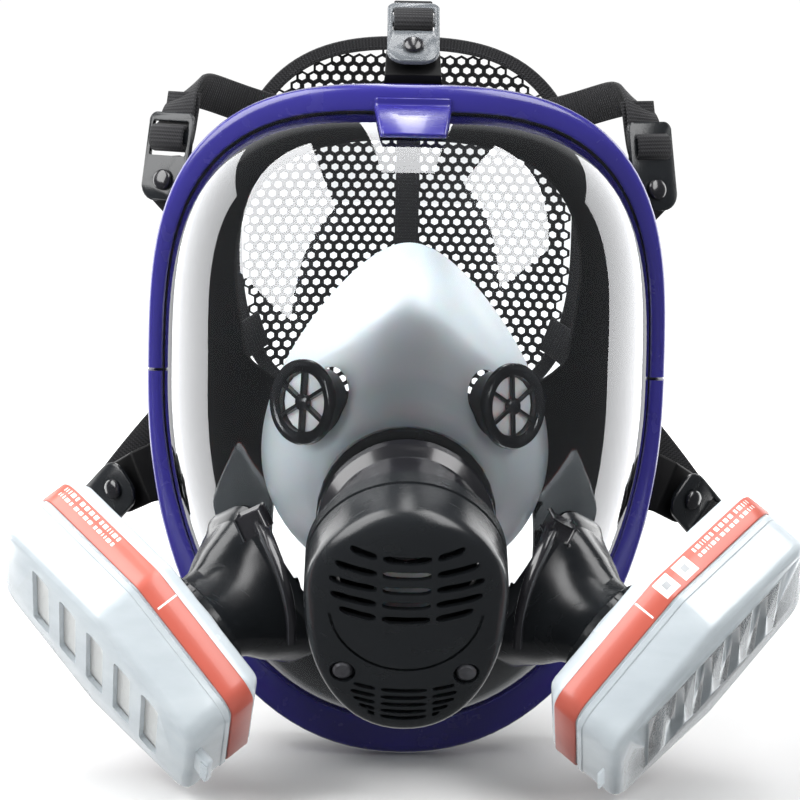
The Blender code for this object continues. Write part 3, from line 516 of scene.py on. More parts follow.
class Form:
    """Mesh building that the sub-assemblies share, in millimetres until the mesh is written."""

    @staticmethod
    def write(name: str, mesh: bmesh.types.BMesh, turn_out: bool = True) -> bpy.types.Object:
        """Turns a mesh in millimetres into an object at the origin.

        Args:
            name: the piece's name.
            mesh: the mesh, freed afterwards.
            turn_out: whether its faces are turned outwards, as on a closed shape.

        Returns:
            The new object.
        """
        mesh.normal_update()
        if turn_out:
            bmesh.ops.recalc_face_normals(mesh, faces=mesh.faces)
        bmesh.ops.scale(mesh, verts=mesh.verts, vec=(MM, MM, MM))
        data = bpy.data.meshes.new(name)
        mesh.to_mesh(data)
        mesh.free()
        made = bpy.data.objects.new(name, data)
        bpy.context.scene.collection.objects.link(made)
        return made

    @staticmethod
    def skin(name: str, loops: Sequence[Loop], wrap: bool = False,
             poles: tuple[Vector | None, Vector | None] = (None, None),
             mapped: bool = False) -> bpy.types.Object:
        """Joins loops of equal length side by side.

        Args:
            name: the piece's name.
            loops: rings of points.
            wrap: whether the last ring joins the first.
            poles: the point each end fans to, or None for a flat end.
            mapped: whether to write a map in metres, round the rings and along them.

        Returns:
            The closed piece.
        """
        mesh = bmesh.new()
        layer = mesh.loops.layers.uv.new("cloth") if mapped else None
        rows = [[mesh.verts.new(point) for point in loop] for loop in loops]
        count = len(rows[0])
        along = [0.0]
        for before, after in zip(loops, loops[1:]):
            along.append(along[-1] + sum((b - a).length for a, b in zip(before, after)) / count)
        for index in range(len(rows) if wrap else len(rows) - 1):
            here, there = rows[index], rows[(index + 1) % len(rows)]
            reached = 0.0
            for step in range(count):
                after = (step + 1) % count
                face = mesh.faces.new((here[step], here[after], there[after], there[step]))
                further = reached + (loops[index][after] - loops[index][step]).length
                if layer:
                    low = along[index] * MM
                    high = along[(index + 1) % len(rows)] * MM if index + 1 < len(rows) else low
                    spots = ((reached * MM, low), (further * MM, low),
                             (further * MM, high), (reached * MM, high))
                    for corner, spot in zip(face.loops, spots):
                        corner[layer].uv = spot
                reached = further
        if not wrap:
            for row, pole in ((rows[0], poles[0]), (rows[-1], poles[1])):
                if pole is None:
                    mesh.faces.new(row)
                    continue
                tip = mesh.verts.new(pole)
                for step in range(count):
                    mesh.faces.new((row[step], row[(step + 1) % count], tip))
        return Form.write(name, mesh)

    @staticmethod
    def ring(centre: Vector, first: Vector, second: Vector, radius: float, count: int) -> Loop:
        """Points of a circle about centre, from the first direction towards the second."""
        return [centre + (first * math.cos(math.tau * i / count)
                          + second * math.sin(math.tau * i / count)) * radius
                for i in range(count)]

    @staticmethod
    def turned(name: str, centre: Vector, axis: Vector, profile: Sequence[tuple[float, float]],
               count: int = 48, wrap: bool = False, mapped: bool = False) -> bpy.types.Object:
        """A solid of revolution. profile holds (radius, distance along axis)."""
        first = axis.orthogonal().normalized()
        if abs(axis.x) < 0.999:
            first = axis.cross(RIGHT).normalized()
        second = axis.cross(first).normalized()
        loops = [Form.ring(centre + axis * away, first, second, radius, count)
                 for radius, away in profile]
        return Form.skin(name, loops, wrap, mapped=mapped)

    @staticmethod
    def block(name: str, centre: Vector, axes: Sequence[Vector], sizes: Sequence[float],
              round_by: float = 0.0) -> bpy.types.Object:
        """A box with given axes and full lengths, its edges rounded."""
        mesh = bmesh.new()
        bmesh.ops.create_cube(mesh, size=1.0)
        for vert in mesh.verts:
            vert.co = centre + sum((axes[i] * vert.co[i] * sizes[i] for i in range(3)),
                                   Vector())
        if round_by:
            bmesh.ops.bevel(mesh, geom=mesh.edges[:], offset=round_by, segments=3, profile=0.5,
                            affect="EDGES", clamp_overlap=True)
        return Form.write(name, mesh)

    @staticmethod
    def ribbon(name: str, places: Sequence[Vector], across: Sequence[Vector],
               width: float | Sequence[float], thick: float) -> bpy.types.Object:
        """A flat strap with rounded edges along places, mapped in metres for its weave."""
        loops = []
        wide = list(width) if isinstance(width, (list, tuple)) else [width] * len(places)
        for index, place in enumerate(places):
            before, after = places[max(index - 1, 0)], places[min(index + 1, len(places) - 1)]
            way = (after - before).normalized()
            side = (across[index] - way * across[index].dot(way)).normalized()
            up = way.cross(side)
            half, rise = wide[index] / 2, thick / 2
            shape = ((half - 0.5, rise), (-half + 0.5, rise), (-half, rise * 0.4),
                     (-half, -rise * 0.4), (-half + 0.5, -rise), (half - 0.5, -rise),
                     (half, -rise * 0.4), (half, rise * 0.4))
            loops.append([place + side * x + up * y for x, y in shape])
        return Form.skin(name, loops, mapped=True)

    @staticmethod
    def curve(bends: Sequence[Vector], count: int) -> Loop:
        """Points of the cubic curve with four controls."""
        found = []
        for step in range(count):
            share = step / (count - 1)
            rest = 1.0 - share
            found.append(bends[0] * rest ** 3 + bends[1] * 3 * rest * rest * share
                         + bends[2] * 3 * rest * share * share + bends[3] * share ** 3)
        return found

    @staticmethod
    def smooth_path(points: Sequence[Vector], count: int) -> Loop:
        """A smooth path of count points through the given ones."""
        spots = [points[0] * 2 - points[1], *points, points[-1] * 2 - points[-2]]
        found = []
        for step in range(count):
            place = step / (count - 1) * (len(points) - 1)
            index = min(int(place), len(points) - 2)
            t = place - index
            a, b, c, d = spots[index:index + 4]
            found.append((b * 2 + (c - a) * t + (a * 2 - b * 5 + c * 4 - d) * t * t
                          + (b * 3 - a - c * 3 + d) * t ** 3) / 2)
        return found

    @staticmethod
    def rod(name: str, places: Sequence[Vector], across: Vector,
            sizes: Callable[[float], tuple[float, float]], count: int = 16) -> bpy.types.Object:
        """A rounded bar along places; sizes gives its half width and half height by share."""
        loops = []
        for index, place in enumerate(places):
            before, after = places[max(index - 1, 0)], places[min(index + 1, len(places) - 1)]
            way = (after - before).normalized()
            side = (across - way * across.dot(way)).normalized()
            up = way.cross(side)
            wide, high = sizes(index / (len(places) - 1))
            loop = []
            for step in range(count):
                turn = math.tau * step / count
                c, s = math.cos(turn), math.sin(turn)
                reach = (abs(c) ** 3.2 + abs(s) ** 3.2) ** (-1 / 3.2)
                loop.append(place + side * c * reach * wide + up * s * reach * high)
            loops.append(loop)
        return Form.skin(name, loops)

    @staticmethod
    def settle(obj: bpy.types.Object) -> bpy.types.Object:
        """Makes the evaluated shape the object's plain mesh and drops its modifiers."""
        graph = bpy.context.evaluated_depsgraph_get()
        mesh = bpy.data.meshes.new_from_object(obj.evaluated_get(graph))
        obj.modifiers.clear()
        old, obj.data = obj.data, mesh
        bpy.data.meshes.remove(old)
        return obj

    @staticmethod
    def joined(name: str, parts: Sequence[bpy.types.Object]) -> bpy.types.Object:
        """One object made of several."""
        mesh = bmesh.new()
        for part in parts:
            mesh.from_mesh(part.data)
            bpy.data.objects.remove(part, do_unlink=True)
        data = bpy.data.meshes.new(name)
        mesh.to_mesh(data)
        mesh.free()
        made = bpy.data.objects.new(name, data)
        bpy.context.scene.collection.objects.link(made)
        return made

    @staticmethod
    def combine(target: bpy.types.Object, tools: Sequence[bpy.types.Object],
                operation: str = "DIFFERENCE") -> bpy.types.Object:
        """Cuts or adds tools to a target for good, and removes them."""
        whole = target.data.copy()
        for nudge in (0.0, 0.007, 0.019, 0.031):
            for tool in tools:
                tool.location = Vector((nudge, 0.6 * nudge, 0.3 * nudge)) * MM
                modifier = target.modifiers.new("step", "BOOLEAN")
                modifier.object = tool
                modifier.operation = operation
                modifier.solver = "EXACT"
            bpy.context.view_layer.update()
            Form.settle(target)
            if target.data.polygons:
                break
            target.data = whole.copy()
        for tool in tools:
            bpy.data.objects.remove(tool, do_unlink=True)
        return target

    @staticmethod
    def soften(target: bpy.types.Object, width: float, segments: int = 2,
               angle: float = 35.0) -> bpy.types.Object:
        """Rounds the edges that are sharper than angle by width."""
        modifier = target.modifiers.new("soften", "BEVEL")
        modifier.width = width * MM
        modifier.segments = segments
        modifier.limit_method = "ANGLE"
        modifier.angle_limit = math.radians(angle)
        modifier.use_clamp_overlap = True
        modifier.miter_outer = "MITER_ARC"
        return Form.settle(target)

    @staticmethod
    def dress(obj: bpy.types.Object, finish: Finish, body: str, slot: str,
              nodes: Iterable[str] = (), angle: float = 38.0) -> bpy.types.Object:
        """Gives a piece its finish and its body, and hides the CAD nodes it stands for.

        Args:
            obj: the finished mesh.
            finish: what it is made of.
            body: the body that it moves with, or an empty string to leave it without one.
            slot: the record's material slot; not used.
            nodes: CAD nodes that it replaces.
            angle: edges sharper than this stay sharp.

        Returns:
            The same object.
        """
        obj.data.materials.clear()
        obj.data.materials.append(finish.material())
        obj.data.polygons.foreach_set("use_smooth", [True] * len(obj.data.polygons))
        obj.data.set_sharp_from_angle(angle=math.radians(angle))
        obj.data.update()
        if body:
            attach(obj, body)
        names = tuple(nodes)
        if names:
            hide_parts(*names)
        LOG.info("%s: %d faces", obj.name, len(obj.data.polygons))
        return obj


class Repeated(Enum):
    """Small shapes that are repeated over a piece."""

    STITCH = "stitch"
    RIB = "rib"
    DOME = "dome"


class RepeatTree:
    """A geometry tree that sets one small shape on every point of a piece, facing its way."""

    def __init__(self, shape: Repeated) -> None:
        """Builds the tree for a shape, with its sizes in metres as named inputs."""
        self.tree = bpy.data.node_groups.new("repeat_" + shape.value, "GeometryNodeTree")
        face = self.tree.interface
        face.new_socket("Points", in_out="INPUT", socket_type="NodeSocketGeometry")
        self.keys = {}
        for name, value in (("Length", 0.002), ("Width", 0.001), ("Height", 0.0005)):
            socket = face.new_socket(name, in_out="INPUT", socket_type="NodeSocketFloat")
            socket.default_value = value
            self.keys[name] = socket.identifier
        socket = face.new_socket("Material", in_out="INPUT", socket_type="NodeSocketMaterial")
        self.keys["Material"] = socket.identifier
        face.new_socket("Mesh", in_out="OUTPUT", socket_type="NodeSocketGeometry")
        bench = Bench(self.tree)
        start = self.tree.nodes.new("NodeGroupInput")

        def given(name: str) -> Sock:
            """One of the tree's inputs."""
            return Sock(bench, start.outputs[name])

        size = bench.add("ShaderNodeCombineXYZ", {}, {"X": given("Length"), "Y": given("Width"),
                                                      "Z": given("Height")})
        if shape is Repeated.RIB:
            one = bench.add("GeometryNodeMeshCube", {}, {"Size": size}, "Mesh")
        else:
            ball = bench.add("GeometryNodeMeshUVSphere", {},
                             {"Segments": 8, "Rings": 5, "Radius": 0.5}, "Mesh")
            one = bench.add("GeometryNodeTransform", {}, {"Geometry": ball, "Scale": size})
        out = bench.add("GeometryNodeInputNamedAttribute", {"data_type": "FLOAT_VECTOR"},
                        {"Name": "out"}, "Attribute")
        along = bench.add("GeometryNodeInputNamedAttribute", {"data_type": "FLOAT_VECTOR"},
                          {"Name": "along"}, "Attribute")
        turn = bench.add("FunctionNodeAlignRotationToVector", {"axis": "Z"}, {"Vector": out})
        turn = bench.add("FunctionNodeAlignRotationToVector", {"axis": "X", "pivot_axis": "Z"},
                         {"Rotation": turn, "Vector": along})
        spread = bench.add("GeometryNodeInstanceOnPoints", {},
                           {"Points": given("Points"), "Instance": one, "Rotation": turn})
        real = bench.add("GeometryNodeRealizeInstances", {}, {"Geometry": spread})
        painted = bench.add("GeometryNodeSetMaterial", {},
                            {"Geometry": real, "Material": given("Material")})
        end = self.tree.nodes.new("NodeGroupOutput")
        bench.feed(end.inputs["Mesh"], painted)

    def grow(self, name: str, spots: Sequence[tuple[Vector, Vector, Vector]],
             sizes: tuple[float, float, float], finish: Finish) -> bpy.types.Object:
        """Sets the shape on points.

        Args:
            name: the piece's name.
            spots: each point, the way it faces and the way its length runs, in millimetres.
            sizes: length, width and height in millimetres.
            finish: its material.

        Returns:
            A plain mesh of all the copies.
        """
        data = bpy.data.meshes.new(name)
        data.from_pydata([tuple(place * MM) for place, _, _ in spots], [], [])
        for key, which in (("out", 1), ("along", 2)):
            values = data.attributes.new(key, "FLOAT_VECTOR", "POINT")
            values.data.foreach_set("vector", [c for spot in spots for c in spot[which]])
        made = bpy.data.objects.new(name, data)
        bpy.context.scene.collection.objects.link(made)
        modifier = made.modifiers.new("repeat", "NODES")
        modifier.node_group = self.tree
        for key, value in zip(("Length", "Width", "Height"), sizes):
            modifier[self.keys[key]] = value * MM
        modifier[self.keys["Material"]] = finish.material()
        return Form.settle(made)


class NetTree:
    """A geometry tree that turns a triangle lattice into knitted cells with a hole in each."""

    def __init__(self) -> None:
        """Builds the tree, with the hole's share of a cell as a named input."""
        self.tree = bpy.data.node_groups.new("knitted_cells", "GeometryNodeTree")
        face = self.tree.interface
        face.new_socket("Lattice", in_out="INPUT", socket_type="NodeSocketGeometry")
        socket = face.new_socket("Hole share", in_out="INPUT", socket_type="NodeSocketFloat")
        socket.default_value = 0.62
        self.hole = socket.identifier
        socket = face.new_socket("Material", in_out="INPUT", socket_type="NodeSocketMaterial")
        self.paint = socket.identifier
        face.new_socket("Mesh", in_out="OUTPUT", socket_type="NodeSocketGeometry")
        bench = Bench(self.tree)
        start = self.tree.nodes.new("NodeGroupInput")
        cells = bench.add("GeometryNodeDualMesh", {},
                          {"Mesh": Sock(bench, start.outputs["Lattice"])})
        split = bench.add("GeometryNodeExtrudeMesh", {"mode": "FACES"},
                          {"Mesh": cells, "Offset Scale": 0.0, "Individual": True})
        top = Sock(bench, split.socket.node.outputs["Top"])
        holes = bench.add("GeometryNodeScaleElements", {"domain": "FACE"},
                          {"Geometry": split, "Selection": top,
                           "Scale": Sock(bench, start.outputs["Hole share"])})
        open_cells = bench.add("GeometryNodeDeleteGeometry", {"domain": "FACE"},
                               {"Geometry": holes, "Selection": top})
        welded = bench.add("GeometryNodeMergeByDistance", {},
                           {"Geometry": open_cells, "Distance": 0.00002})
        real = bench.add("GeometryNodeRealizeInstances", {}, {"Geometry": welded})
        painted = bench.add("GeometryNodeSetMaterial", {},
                            {"Geometry": real, "Material": Sock(bench, start.outputs["Material"])})
        end = self.tree.nodes.new("NodeGroupOutput")
        bench.feed(end.inputs["Mesh"], painted)

    def knit(self, lattice: bpy.types.Object, share: float, thick: float,
             finish: Finish) -> bpy.types.Object:
        """Makes a lattice into a net of this thickness in millimetres."""
        modifier = lattice.modifiers.new("cells", "NODES")
        modifier.node_group = self.tree
        modifier[self.hole] = share
        modifier[self.paint] = finish.material()
        wall = lattice.modifiers.new("thickness", "SOLIDIFY")
        wall.thickness = thick * MM
        wall.offset = 0.0
        return Form.settle(lattice)


# ------------------------------------------------------------------ the facepiece's curves


def mix(start: Any, end: Any, share: float) -> Any:
    """The value or point at a share of the way from start to end."""
    return start + (end - start) * share


def flipped(vector: Vector, side: float) -> Vector:
    """The vector on one side: right is +1 and left is -1."""
    return Vector((vector.x * side, vector.y, vector.z))


@dataclass(frozen=True)
class Rim:
    """The outline that the frame, visor and seal share."""

    half_width: float = 98.0
    top: float = 110.0
    chin: float = 142.0
    top_squareness: float = 3.0
    chin_squareness: float = 2.15
    side_front: float = -25.0
    top_front: float = -55.0
    chin_front: float = -45.0
    apex: float = -110.0
    wall: float = 2.5
    seat: float = 2.7

    def radius(self, turn: float) -> float:
        """How far the outside of the frame is from the middle, seen from the front."""
        tall, power = ((self.top, self.top_squareness) if math.sin(turn) >= 0
                       else (self.chin, self.chin_squareness))
        share = (abs(math.cos(turn) / self.half_width) ** power
                 + abs(math.sin(turn) / tall) ** power)
        return share ** (-1.0 / power)

    def front(self, turn: float) -> float:
        """Y of the frame's front face."""
        end = self.top_front if math.sin(turn) >= 0 else self.chin_front
        return mix(self.side_front, end, math.sin(turn) ** 2)

    def reach(self, turn: float) -> float:
        """How far the frame's front flange reaches in over the visor."""
        return 5.8 + (4.0 if math.sin(turn) >= 0 else 7.0) * math.sin(turn) ** 2

    def point(self, turn: float, inward: float, back: float) -> Vector:
        """A point inward from the frame's outside and behind its front."""
        radius = self.radius(turn) - inward
        return Vector((radius * math.cos(turn), self.front(turn) + back,
                       radius * math.sin(turn)))

    @staticmethod
    def rise(share: float) -> float:
        """How much of the dome's bulge there is at a share of the way out."""
        return math.sqrt(max(1.0 - share ** 2.8, 0.0))

    def dome(self, share: float, inner: bool, turn: float) -> Vector:
        """A point of the visor's outside or inside."""
        less = self.wall if inner else 0.0
        edge = self.radius(turn) - self.reach(turn) - 0.8 - less
        start = self.front(turn) + self.seat + less
        return Vector((edge * share * math.cos(turn),
                       mix(start, self.apex + less, self.rise(share)),
                       edge * share * math.sin(turn)))

    def outer_y(self, x: float, z: float, inner: bool = False) -> float:
        """Y of the visor's outside, or inside, at a place seen from the front."""
        less = self.wall if inner else 0.0
        turn = math.atan2(z, x)
        edge = self.radius(turn) - self.reach(turn) - 0.8 - less
        start = self.front(turn) + self.seat + less
        share = min(math.hypot(x, z) / edge, 1.0)
        return mix(start, self.apex + less, self.rise(share))

    def land(self, place: Vector, way: Vector, clear: float, inner: bool = False) -> Vector:
        """Where a line from place along way comes to within clear of the visor."""
        near, far = 0.0, 110.0
        for _ in range(36):
            middle = (near + far) / 2
            here = place + way * middle
            if here.y < self.outer_y(here.x, here.z, inner) + clear:
                near = middle
            else:
                far = middle
        return place + way * near


RIM = Rim()
STEPS = 144


@dataclass
class Visor:
    """The clear window with its three openings."""

    rim: Rim = RIM
    rows: int = 18
    centre: Vector = field(default_factory=lambda: Vector((0, -150, -65)))
    centre_hole: float = 29.6
    port_base: Vector = field(default_factory=lambda: Vector((56, -90, -75)))
    port_way: Vector = field(default_factory=lambda: Vector((0.6, -0.58, -0.55)).normalized())
    port_hole: float = 15.9

    def build(self) -> None:
        """Makes the window."""
        turns = [math.tau * step / STEPS for step in range(STEPS)]
        shares = [math.sin(math.pi / 2 * step / self.rows) for step in range(1, self.rows + 1)]
        loops = [[self.rim.dome(share, False, turn) for turn in turns] for share in shares]
        for back in (self.rim.seat, self.rim.seat + self.rim.wall):
            loops.append([self.rim.point(turn, 2.9, back) for turn in turns])
        loops += [[self.rim.dome(share, True, turn) for turn in turns]
                  for share in reversed(shares)]
        apex = self.rim.apex
        visor = Form.skin("visor_window", loops,
                          poles=(Vector((0, apex, 0)), Vector((0, apex + self.rim.wall, 0))))
        cutters = [Form.turned("cut", self.centre, CentreUnit.IN,
                               ((self.centre_hole, 30), (self.centre_hole, 90)), 64)]
        for _, side in SIDES:
            cutters.append(Form.turned("cut", flipped(self.port_base, side),
                                       flipped(self.port_way, side),
                                       ((self.port_hole, -35), (self.port_hole, 30)), 48))
        Form.combine(visor, cutters)
        Form.dress(visor, Finishes.VISOR, "facepiece", "visor", ["visor"], 30)
        visor.data.materials.append(Finishes.VISOR_INSIDE.material())
        for face in visor.data.polygons:
            place = face.center / MM
            inner = self.rim.outer_y(place.x, place.z, True)
            if face.normal.dot(Vector((-place.x, 60.0, -place.z))) > 0 and place.y > inner - 1.2:
                face.material_index = 1


@dataclass
class ClampFrame:
    """The two-piece clamping frame with its top tab and side lugs."""

    rim: Rim = RIM
    depth: float = 14.0
    wall: float = 2.3
    gap: float = math.radians(0.35)

    def section(self, turn: float) -> Loop:
        """The C-shaped section, with a rounded shoulder."""
        reach = self.rim.reach(turn)
        places = [(reach, 0.9), (reach - 0.5, 0.25), (reach - 1.5, 0.0), (3.4, -0.1)]
        for step in range(5):
            angle = math.pi / 2 * step / 4
            places.append((2.6 - 2.6 * math.sin(angle), 2.6 - 2.6 * math.cos(angle)))
        places += [(0.0, self.depth - 1.6), (0.5, self.depth - 0.5), (1.6, self.depth),
                   (7.0, self.depth), (7.0, self.depth - 2.0),
                   (self.wall, self.depth - 2.0), (self.wall, 2.3), (reach, 2.3)]
        return [self.rim.point(turn, inward, back) for inward, back in places]

    def tab(self) -> bpy.types.Object:
        """The blunt tab at the middle of the top."""
        loops = []
        for inward, half in ((5.0, 14.5), (9.5, 14.5), (12.0, 13.8), (15.0, 13.0), (18.5, 12.0)):
            z = self.rim.top - inward
            low = inward > 9.0
            lift = Vector((0, -2.4, 2.0)) if low else Vector((0, -2.6, 0.4))
            y = self.rim.top_front + 1.2
            if low:
                y = min(self.rim.outer_y(half, z), self.rim.outer_y(0, z)) - 0.9
            base = Vector((0, y, z))
            loops.append([base - RIGHT * half, base + RIGHT * half,
                          base + RIGHT * (half - 0.8) + lift, base - RIGHT * (half - 0.8) + lift])
        return Form.skin("tab", loops)

    def build(self) -> None:
        """Makes both halves."""
        count = STEPS // 2
        for name, start, lean in (("frame_upper", 0.0, 4.6), ("frame_lower", math.pi, -4.6)):
            turns = [mix(start + self.gap, start + math.pi - self.gap, step / count)
                     for step in range(count + 1)]
            half = Form.skin(name + "_rim", [self.section(turn) for turn in turns])
            added, cut = [], []
            if lean > 0:
                added.append(Form.soften(self.tab(), 0.9, 3))
            for _, side in SIDES:
                place = Vector(((self.rim.half_width - 3.6) * side,
                                self.rim.side_front + self.depth + 2.6, 0))
                added.append(Form.block("lug", place + Vector((0, -0.3, lean)),
                                        (RIGHT, BACK, UP), (6.6, 6.4, 8), 0.7))
                cut.append(Form.turned("cut", place + BACK * 0.2, UP, ((1.5, -14), (1.5, 14)),
                                       20))
            Form.combine(half, added, "UNION")
            Form.combine(half, cut)
            Form.dress(half, Finishes.FRAME, "facepiece", "frame", [name], 32)


@dataclass
class FaceSeal:
    """The rubber skirt with its lip and the five tabs under the buckles."""

    rim: Rim = RIM
    frame_depth: float = 14.0

    def section(self, turn: float) -> Loop:
        """Bead in the frame, wall, rear fold and lip turned in."""
        high = math.sin(turn) >= 0
        front = self.rim.front(turn)
        across = math.sin(turn) ** 2
        back = -(10.0 if high else 7.0) * across
        low = -math.sin(turn)
        wing = min(max((low + 0.12) / 0.3, 0.0), 1.0) * min(max((0.95 - low) / 0.25, 0.0), 1.0)
        wing *= wing * (3.0 - 2.0 * wing)
        reach = 37.0 - (15.0 if high else 11.0) * across + 15.0 * wing
        middle = mix(front + self.frame_depth, back, 0.55)
        bulge = mix(7.9, 4.5, min(abs(math.sin(turn)) * 3.0, 1.0))
        places = ((3.1, front + 5.8), (3.1, front + 11.5), (7.9, front + 11.5),
                  (7.9, front + 14.4), (bulge, middle), (bulge + 0.3, back - 3.0), (8.0, back),
                  (13.0, back - 0.3), (mix(13.0, reach, 0.6), back - 4.5), (reach, back - 11.0),
                  (reach - 1.0, back - 12.0), (mix(12.5, reach, 0.52), back - 6.6),
                  (12.0, back - 3.4), (max(8.4, bulge + 2.2), back - 3.8),
                  (bulge + 3.0, middle), (10.6, front + 13.0), (10.6, front + 5.7))
        loop = []
        for inward, y in places:
            radius = self.rim.radius(turn) - inward
            loop.append(Vector((radius * math.cos(turn), y, radius * math.sin(turn))))
        return loop

    def build(self, stations: Sequence["Station"]) -> None:
        """Makes the skirt with a tab at each station."""
        turns = [math.tau * step / STEPS for step in range(STEPS)]
        seal = Form.skin("seal_skirt", [self.section(turn) for turn in turns], True)
        tabs, holes = [], []
        for station in stations:
            stud, facing = station.stud, station.facing
            turn = math.atan2(stud.z, stud.x)
            root = self.rim.point(turn, 6.0, self.frame_depth + 5.5)
            out_way = Vector((math.cos(turn), 0, math.sin(turn)))
            across = facing.cross(out_way).normalized()
            out = across.cross(facing).normalized()
            out = out if out.dot(stud) > 0 else -out
            loops = []
            for place, width, thick in ((root, 24, 3.0), (stud - out * 10, 21, 3.4),
                                        (stud + out * 4, 20, 3.4), (stud + out * 8, 13, 3.2)):
                way = facing if place is not root else out.cross(across).normalized()
                way = way if way.dot(facing) > 0 else -way
                half, deep = across * width / 2, way * thick
                loops.append([place + half, place - half, place - half - deep,
                              place + half - deep])
            tabs.append(Form.soften(Form.skin("tab", loops), 1.2, 3, 30))
            holes.append(Form.turned("cut", stud, facing, ((2.4, -8), (2.4, 4)), 20))
        Form.combine(seal, tabs, "UNION")
        Form.combine(seal, holes)
        Form.dress(seal, Finishes.RUBBER, "facepiece", "seal", ["face_seal"], 40)


# ------------------------------------------------------------------ nose cup


@dataclass
class NoseCup:
    """The translucent inner mask and its two valve rings."""

    top: float = 52.0
    chin: float = -76.0
    half_width: float = 52.0
    wall: float = 1.8
    steps: int = 96
    rows: int = 22
    collar: float = 72.0
    collar_front: float = 68.5
    valve: Vector = field(default_factory=lambda: Vector((36, -84, -3.5)))
    valve_way: Vector = field(default_factory=lambda: Vector((0.67, -0.74, 0.06)).normalized())

    def rear(self, turn: float, inset: float) -> Vector:
        """The edge that meets the face. turn is from the top."""
        up = math.cos(turn)
        half = (self.top - self.chin) / 2
        x = (self.half_width - inset) * math.sin(turn) * (1 - 0.33 * up - 0.06 * up * up)
        z = (self.top + self.chin) / 2 + (half - inset) * up
        return Vector((x, mix(-26.0, -50.0, max(up, 0) ** 1.5) - 8 * max(-up, 0), z))

    def loop(self, share: float, inner: bool) -> Loop:
        """A ring of the cup from its rear edge (0) to its collar (1)."""
        inset = self.wall if inner else 0.0
        ridge = 0.0 if inner else 1.5 * math.exp(-((share - 0.86) / 0.035) ** 2)
        found = []
        for step in range(self.steps):
            turn = math.tau * step / self.steps
            rear = self.rear(turn, inset)
            way = RIGHT * math.sin(turn) + CentreUnit.UPWARD * math.cos(turn)
            collar = CentreUnit.CENTRE + CentreUnit.IN * self.collar + way * (30.3 - inset)
            bulge = math.sin(math.pi * share) * 9.0
            point = rear.lerp(collar, share)
            out = Vector((point.x, 0, point.z + 30)).normalized()
            found.append(point + out * (bulge * 0.55 + ridge * max(math.cos(turn), 0.15))
                         + Vector((0, -bulge * 0.5 - ridge * 0.5, 0)))
        return found

    def build(self) -> None:
        """Makes the cup and its valve rings."""
        shares = [step / self.rows for step in range(self.rows + 1)]
        loops = [self.loop(share, False) for share in shares]
        for radius in (30.3, 28.5):
            loops.append(Form.ring(CentreUnit.CENTRE + CentreUnit.IN * self.collar_front,
                                   CentreUnit.UPWARD, RIGHT, radius, self.steps))
        loops += [self.loop(share, True) for share in reversed(shares)]
        cup = Form.skin("cup_shell", loops, True)
        cutters = [Form.turned("cut", flipped(self.valve, side), flipped(self.valve_way, side),
                               ((12.6, -22), (12.6, 14)), 48) for _, side in SIDES]
        Form.combine(cup, cutters)
        Form.dress(cup, Finishes.CUP, "facepiece", "cup", ["nose_cup"], 45)
        for label, side in SIDES:
            self.valve_ring(label, side)

    def valve_ring(self, label: str, side: float) -> None:
        """One valve's ring with its six spokes."""
        place, way = flipped(self.valve, side), flipped(self.valve_way, side)
        profile = [(11.0, -8.0), (12.1, -8.0), (12.1, 1.6), (15.5, 1.6), (15.5, 3.2)]
        for step in range(1, 6):
            turn = math.pi * step / 6
            profile.append((13.4 + 2.0 * math.cos(turn), 3.4 + 1.4 * math.sin(turn)))
        profile.append((11.0, 3.2))
        ring = Form.turned("valve_ring_" + label, place, way, profile, 56, True)
        first = way.cross(UP).normalized()
        second = way.cross(first)
        spokes = []
        for step in range(3):
            turn = math.pi * (step + 0.5) / 3
            along = first * math.cos(turn) + second * math.sin(turn)
            spokes.append(Form.block("spoke", place + way * 2.5, (along, way.cross(along), way),
                                     (22.6, 1.3, 1.8), 0.3))
        hub = Form.turned("hub", place, way, ((3.0, 1.5), (3.0, 3.6), (2.0, 4.2)), 24)
        ring.name = "valve_rim"
        ring = Form.joined("valve_ring_" + label, [ring, *spokes, hub])
        Form.dress(ring, Finishes.GLOSS, "facepiece", "black_plastic",
                   ["cup_valve_seat_" + label], 35)


# ------------------------------------------------------------------ centre unit


